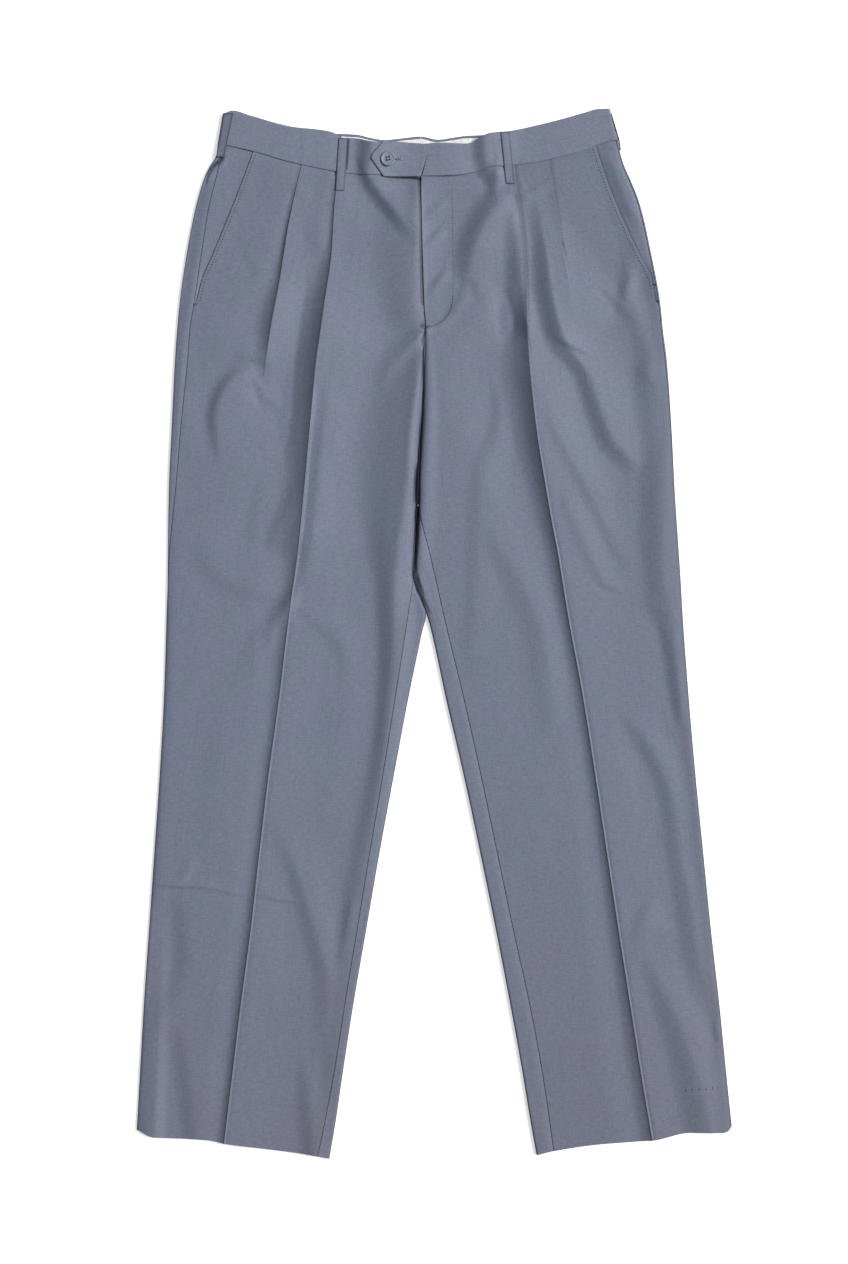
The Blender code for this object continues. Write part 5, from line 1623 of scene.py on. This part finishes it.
cloth_pieces = {}
for side in (RIGHT, LEFT):
    cloth_pieces[f"front {side.name}"] = front_panel(side)
    cloth_pieces[f"back {side.name}"] = back_panel(side)
    cloth_pieces[f"facing {side.name}"] = pocket_facing(side)
cloth_pieces["band right"] = waistband(RIGHT, folds=(-220.8, -225.9), end=(2, 2))
cloth_pieces["band left"] = waistband(LEFT, folds=(185, 193.8), end=(-3, -12.2))
cloth_pieces["tab"] = waistband_tab()
cloth_pieces["lining"] = waistband_lining()
for name, measures in FRONT_LOOPS.items():
    cloth_pieces[f"loop {name}"] = front_loop(f"front_loop_{name}", f"belt_loop_front_{name}", *measures)
cloth_pieces["side loop right"] = side_loop(RIGHT, RIGHT_SIDE_LOOP, last=90)
cloth_pieces["side loop left"] = side_loop(LEFT, LEFT_SIDE_LOOP, last=150)
button_piece = button()


def cloth_surface(pieces):
    """All the cloth as one surface for finding its height."""
    corners, faces = [], []
    for piece in pieces:
        first = len(corners)
        corners.extend(v.co.copy() for v in piece.data.vertices)
        faces.extend([first + i for i in p.vertices] for p in piece.data.polygons)
    return BVHTree.FromPolygons(corners, faces)


surface_of_cloth = cloth_surface(list(cloth_pieces.values()) + [button_piece])
FROM_ABOVE = 0.05       # height in metres from which the cloth is looked for


def seated(path, step=1.0):
    """A line of points that lies on the cloth, from a line across x and y in millimetres."""
    path = np.array(path, float)
    run = np.concatenate([[0], np.cumsum(np.hypot(*np.diff(path, axis=0).T))])
    along = np.linspace(0, run[-1], max(2, int(run[-1] / step) + 1))
    places = []
    for x, y in zip(smooth(run, path[:, 0])(along), smooth(run, path[:, 1])(along)):
        hit = surface_of_cloth.ray_cast(Vector((x * MM, y * MM, FROM_ABOVE)), Vector((0, 0, -1)))[0]
        if hit is not None:
            places.append(hit)
    return places


def stitch_tree(thread_material):
    """Geometry nodes that sew a row of stitches along each line of a mesh."""
    tree = bpy.data.node_groups.new("row of stitches", "GeometryNodeTree")
    tree.interface.new_socket("Lines", in_out="INPUT", socket_type="NodeSocketGeometry")
    for name in ("Stitch length", "Stitch spacing", "Thread thickness", "Turn"):
        tree.interface.new_socket(name, in_out="INPUT", socket_type="NodeSocketFloat")
    tree.interface.new_socket("Stitches", in_out="OUTPUT", socket_type="NodeSocketGeometry")
    sizes = node(tree, "NodeGroupInput").outputs
    lines = node(tree, "GeometryNodeMeshToCurve", {"Mesh": sizes["Lines"]})
    spacing = {"Curve": lines.outputs[0], "Length": sizes["Stitch spacing"]}
    places = node(tree, "GeometryNodeResampleCurve", spacing, mode="LENGTH")
    bead = node(tree, "GeometryNodeMeshUVSphere", {"Segments": 8, "Rings": 5, "Radius": 0.5})
    thick = sizes["Thread thickness"]
    size = node(tree, "ShaderNodeCombineXYZ", {"X": sizes["Stitch length"], "Y": thick, "Z": thick})
    shaped = {"Geometry": bead.outputs["Mesh"], "Scale": size.outputs[0]}
    stitch = node(tree, "GeometryNodeTransform", shaped)
    tangent = node(tree, "GeometryNodeInputTangent")
    along = node(tree, "FunctionNodeAlignRotationToVector", {"Vector": tangent.outputs[0]}, axis="X")
    turn = node(tree, "ShaderNodeCombineXYZ", {"Z": sizes["Turn"]})
    turned = node(tree, "FunctionNodeRotateRotation", {0: along.outputs[0], 1: turn.outputs[0]},
                  rotation_space="LOCAL")
    row = node(tree, "GeometryNodeInstanceOnPoints", {
        "Points": places.outputs[0], "Instance": stitch.outputs[0], "Rotation": turned.outputs[0],
    })
    real = node(tree, "GeometryNodeRealizeInstances", {"Geometry": row.outputs[0]})
    sewn = node(tree, "GeometryNodeSetMaterial", {"Geometry": real.outputs[0], "Material": thread_material})
    node(tree, "NodeGroupOutput", {"Stitches": sewn.outputs[0]})
    return tree


def stitches(name, rows):
    """Sewing in rows, each a list of lines with the stitch length, spacing, thickness and turn."""
    parts = bmesh.new()
    for lines, length, spacing, thickness, turn in rows:
        guide = bmesh.new()
        for line in lines:
            corners = [guide.verts.new(place) for place in seated(line, min(1.0, spacing))]
            for pair in zip(corners, corners[1:]):
                guide.edges.new(pair)
        data = bpy.data.meshes.new(f"{name}_guide")
        guide.to_mesh(data)
        guide.free()
        holder = bpy.data.objects.new(f"{name}_guide", data)
        bpy.context.scene.collection.objects.link(holder)
        sewing = holder.modifiers.new("stitches", "NODES")
        sewing.node_group = row_of_stitches
        values = {
            "Stitch length": length * MM, "Stitch spacing": spacing * MM,
            "Thread thickness": thickness * MM, "Turn": turn,
        }
        for socket in row_of_stitches.interface.items_tree:
            if socket.in_out == "INPUT" and socket.name in values:
                sewing[socket.identifier] = values[socket.name]
        bpy.context.view_layer.update()
        made = bpy.data.meshes.new_from_object(holder.evaluated_get(bpy.context.evaluated_depsgraph_get()))
        bpy.data.objects.remove(holder)
        parts.from_mesh(made)
        bpy.data.meshes.remove(made)
    mesh = bpy.data.meshes.new(name)
    parts.to_mesh(mesh)
    parts.free()
    piece = piece_of(name, mesh, thread)
    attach(piece, BODY)
    return piece


row_of_stitches = stitch_tree(thread)
ACROSS = math.pi / 2
ALONG = 0.0
POCKET_STITCH_IN = 3.7      # pick stitches run this far inside a pocket's mouth
POCKET_STITCH_Y = {"right": (502, 350), "left": (508, 362)}
POCKET_POINTS = 24
HEM_DEPTH = 49.0
HEM_STITCH_OUT = (116, 232)
HEM_POINTS = 16
SLIT_EDGE = 0.5             # the buttonhole's edges lie this far from its middle
STRAND = 0.5                # length of the line that a strand over the button is sewn along
STRAND_SPACING = STRAND_THICK = 0.4
# Tacks, as middle, length and lean of the bar from +X.
TACKS = {
    "right": ((-250.3, 345.4), 4.2, 20),
    "left": ((231.5, 366.5), 4.2, -20),
    "fly": ((-6.2, 321.8), 4.5, 35),
}
# Length, spacing, thickness and turn of each kind of stitch. The thread is 0.3 mm thick in the real
# garment, too fine to show, so it is drawn twice or three times as thick.
PICK = (1.6, 3.2, 1.0, ALONG)
TOPSTITCH = (2.4, 2.7, 1.1, ALONG)
FINE_TOPSTITCH = (2.0, 2.8, 0.5, ALONG)
SATIN = (1.7, 0.4, 0.42, ACROSS)
BUTTONHOLE_STITCH = (0.9, 0.45, 0.4, ACROSS)
KEYHOLE_STITCH = (0.9, 0.9, 0.28, ALONG)
BLIND = (0.9, 7.5, 0.6, ALONG)
PRICK = (3.6, 7.0, 0.7, ACROSS)
FLY_STITCH = ((19.1, 471), (19.5, 440), (20, 400), (20.2, 362), (20, 354))
FLY_CURVE = ((20, 354), (19.4, 347), (17.4, 339), (12.6, 331.6), (6, 326.4), (-4.5, 320.8))
HEM_PRICKS = ((263.8, -477.7), (292, -476))
BUTTONHOLE = ((-41.2, 497.3), (-35, 497.4))
KEYHOLE = ((-35, 496), (-31.2, 496.3), (-31.4, 501.2), (-35.2, 501), (-35, 496))


def bar(middle, length, lean):
    """A short straight line round its middle."""
    step = length / 2 * np.array([math.cos(math.radians(lean)), math.sin(math.radians(lean))])
    return [np.array(middle) - step, np.array(middle) + step]


def pocket_line(side):
    """Where the pick stitches of a pocket's mouth run."""
    heights = np.linspace(*POCKET_STITCH_Y[side.name], POCKET_POINTS)
    return [(side.sign * (side.mouth(y) - POCKET_STITCH_IN), y) for y in heights]


def hem_line(side):
    """Where the hem's blind stitches show."""
    places = np.linspace(*HEM_STITCH_OUT, HEM_POINTS)
    return [(side.sign * out, side.hem(out) + HEM_DEPTH) for out in places]


for side in (RIGHT, LEFT):
    tack = bar(*TACKS[side.name])
    stitches(f"pocket_stitches_{side.name}", [([pocket_line(side)], *PICK), ([tack], *SATIN)])
    stitches(f"hem_stitches_{side.name}", [([hem_line(side)], *BLIND)])
fly_tack = bar(*TACKS["fly"])
stitches("fly_stitches", [([FLY_STITCH], *FINE_TOPSTITCH), ([FLY_CURVE], *TOPSTITCH), ([fly_tack], *SATIN)])
stitches("hem_pricks", [([HEM_PRICKS], *PRICK)])
slit_edges = [[(x, y + edge) for x, y in BUTTONHOLE] for edge in (SLIT_EDGE, -SLIT_EDGE)]
keyhole = list(zip(KEYHOLE, KEYHOLE[1:]))
stitches("buttonhole_stitches", [(slit_edges, *BUTTONHOLE_STITCH), (keyhole, *KEYHOLE_STITCH)])
button_x, button_y = BUTTON_AT
strands = []
for quarter in range(4):
    turned = BUTTON_TURN + quarter * math.pi / 2
    middle = Matrix.Rotation(turned, 2) @ Vector((HOLE_SPREAD / 2, 0))
    strands.append(bar((button_x + middle.x, button_y + middle.y), STRAND, math.degrees(turned)))
stitches("button_thread", [(strands, HOLE_SPREAD, STRAND_SPACING, STRAND_THICK, ACROSS)])

# ---------------------------------------------------------------------------------------------
# Floor, light and camera
# ---------------------------------------------------------------------------------------------

FLOOR_REACH = 4.0                   # metres from the middle
FLOOR_Z = -0.0006
SUN_ELEVATION = math.radians(47)
SUN_AZIMUTH = math.radians(14)      # from +X towards +Y
SUN_SIZE = math.radians(28)
SUN_STRENGTH = 3.6
SKY = (0.94, 0.97, 1.0, 1)
SKY_STRENGTH = 0.2
CAMERA_AT = (-10.3, 2.1, 3135)
LENS = 85
SENSOR = 36
CAMERA_REACH = 20                   # metres

mesh = bpy.data.meshes.new("surface")
corners = [(x * FLOOR_REACH, y * FLOOR_REACH, FLOOR_Z) for x, y in ((-1, -1), (1, -1), (1, 1), (-1, 1))]
mesh.from_pydata(corners, [], [(0, 1, 2, 3)])
mesh.materials.append(studio_floor("white backdrop"))
surface = bpy.data.objects.new("surface", mesh)
bpy.context.scene.collection.objects.link(surface)
surface.visible_diffuse = False      # the cut-out's ground throws no light back on the cloth

key = bpy.data.lights.new("key", "SUN")
key.energy = SUN_STRENGTH
key.angle = SUN_SIZE
key.color = (1.0, 0.99, 0.97)
lamp = bpy.data.objects.new("key", key)
towards = Vector((
    math.cos(SUN_ELEVATION) * math.cos(SUN_AZIMUTH),
    math.cos(SUN_ELEVATION) * math.sin(SUN_AZIMUTH),
    math.sin(SUN_ELEVATION),
))
lamp.rotation_euler = towards.to_track_quat("Z", "Y").to_euler()
bpy.context.scene.collection.objects.link(lamp)

world = bpy.data.worlds.new("studio")
world.use_nodes = True
background = world.node_tree.nodes["Background"]
background.inputs["Color"].default_value = SKY
background.inputs["Strength"].default_value = SKY_STRENGTH
bpy.context.scene.world = world

view = bpy.data.cameras.new("camera")
view.lens = LENS
view.sensor_fit = "VERTICAL"
view.sensor_height = SENSOR
view.clip_end = CAMERA_REACH
camera = bpy.data.objects.new("camera", view)
camera.location = [value * MM for value in CAMERA_AT]
bpy.context.scene.collection.objects.link(camera)
bpy.context.scene.camera = camera
bpy.context.scene.view_settings.view_transform = "Standard"
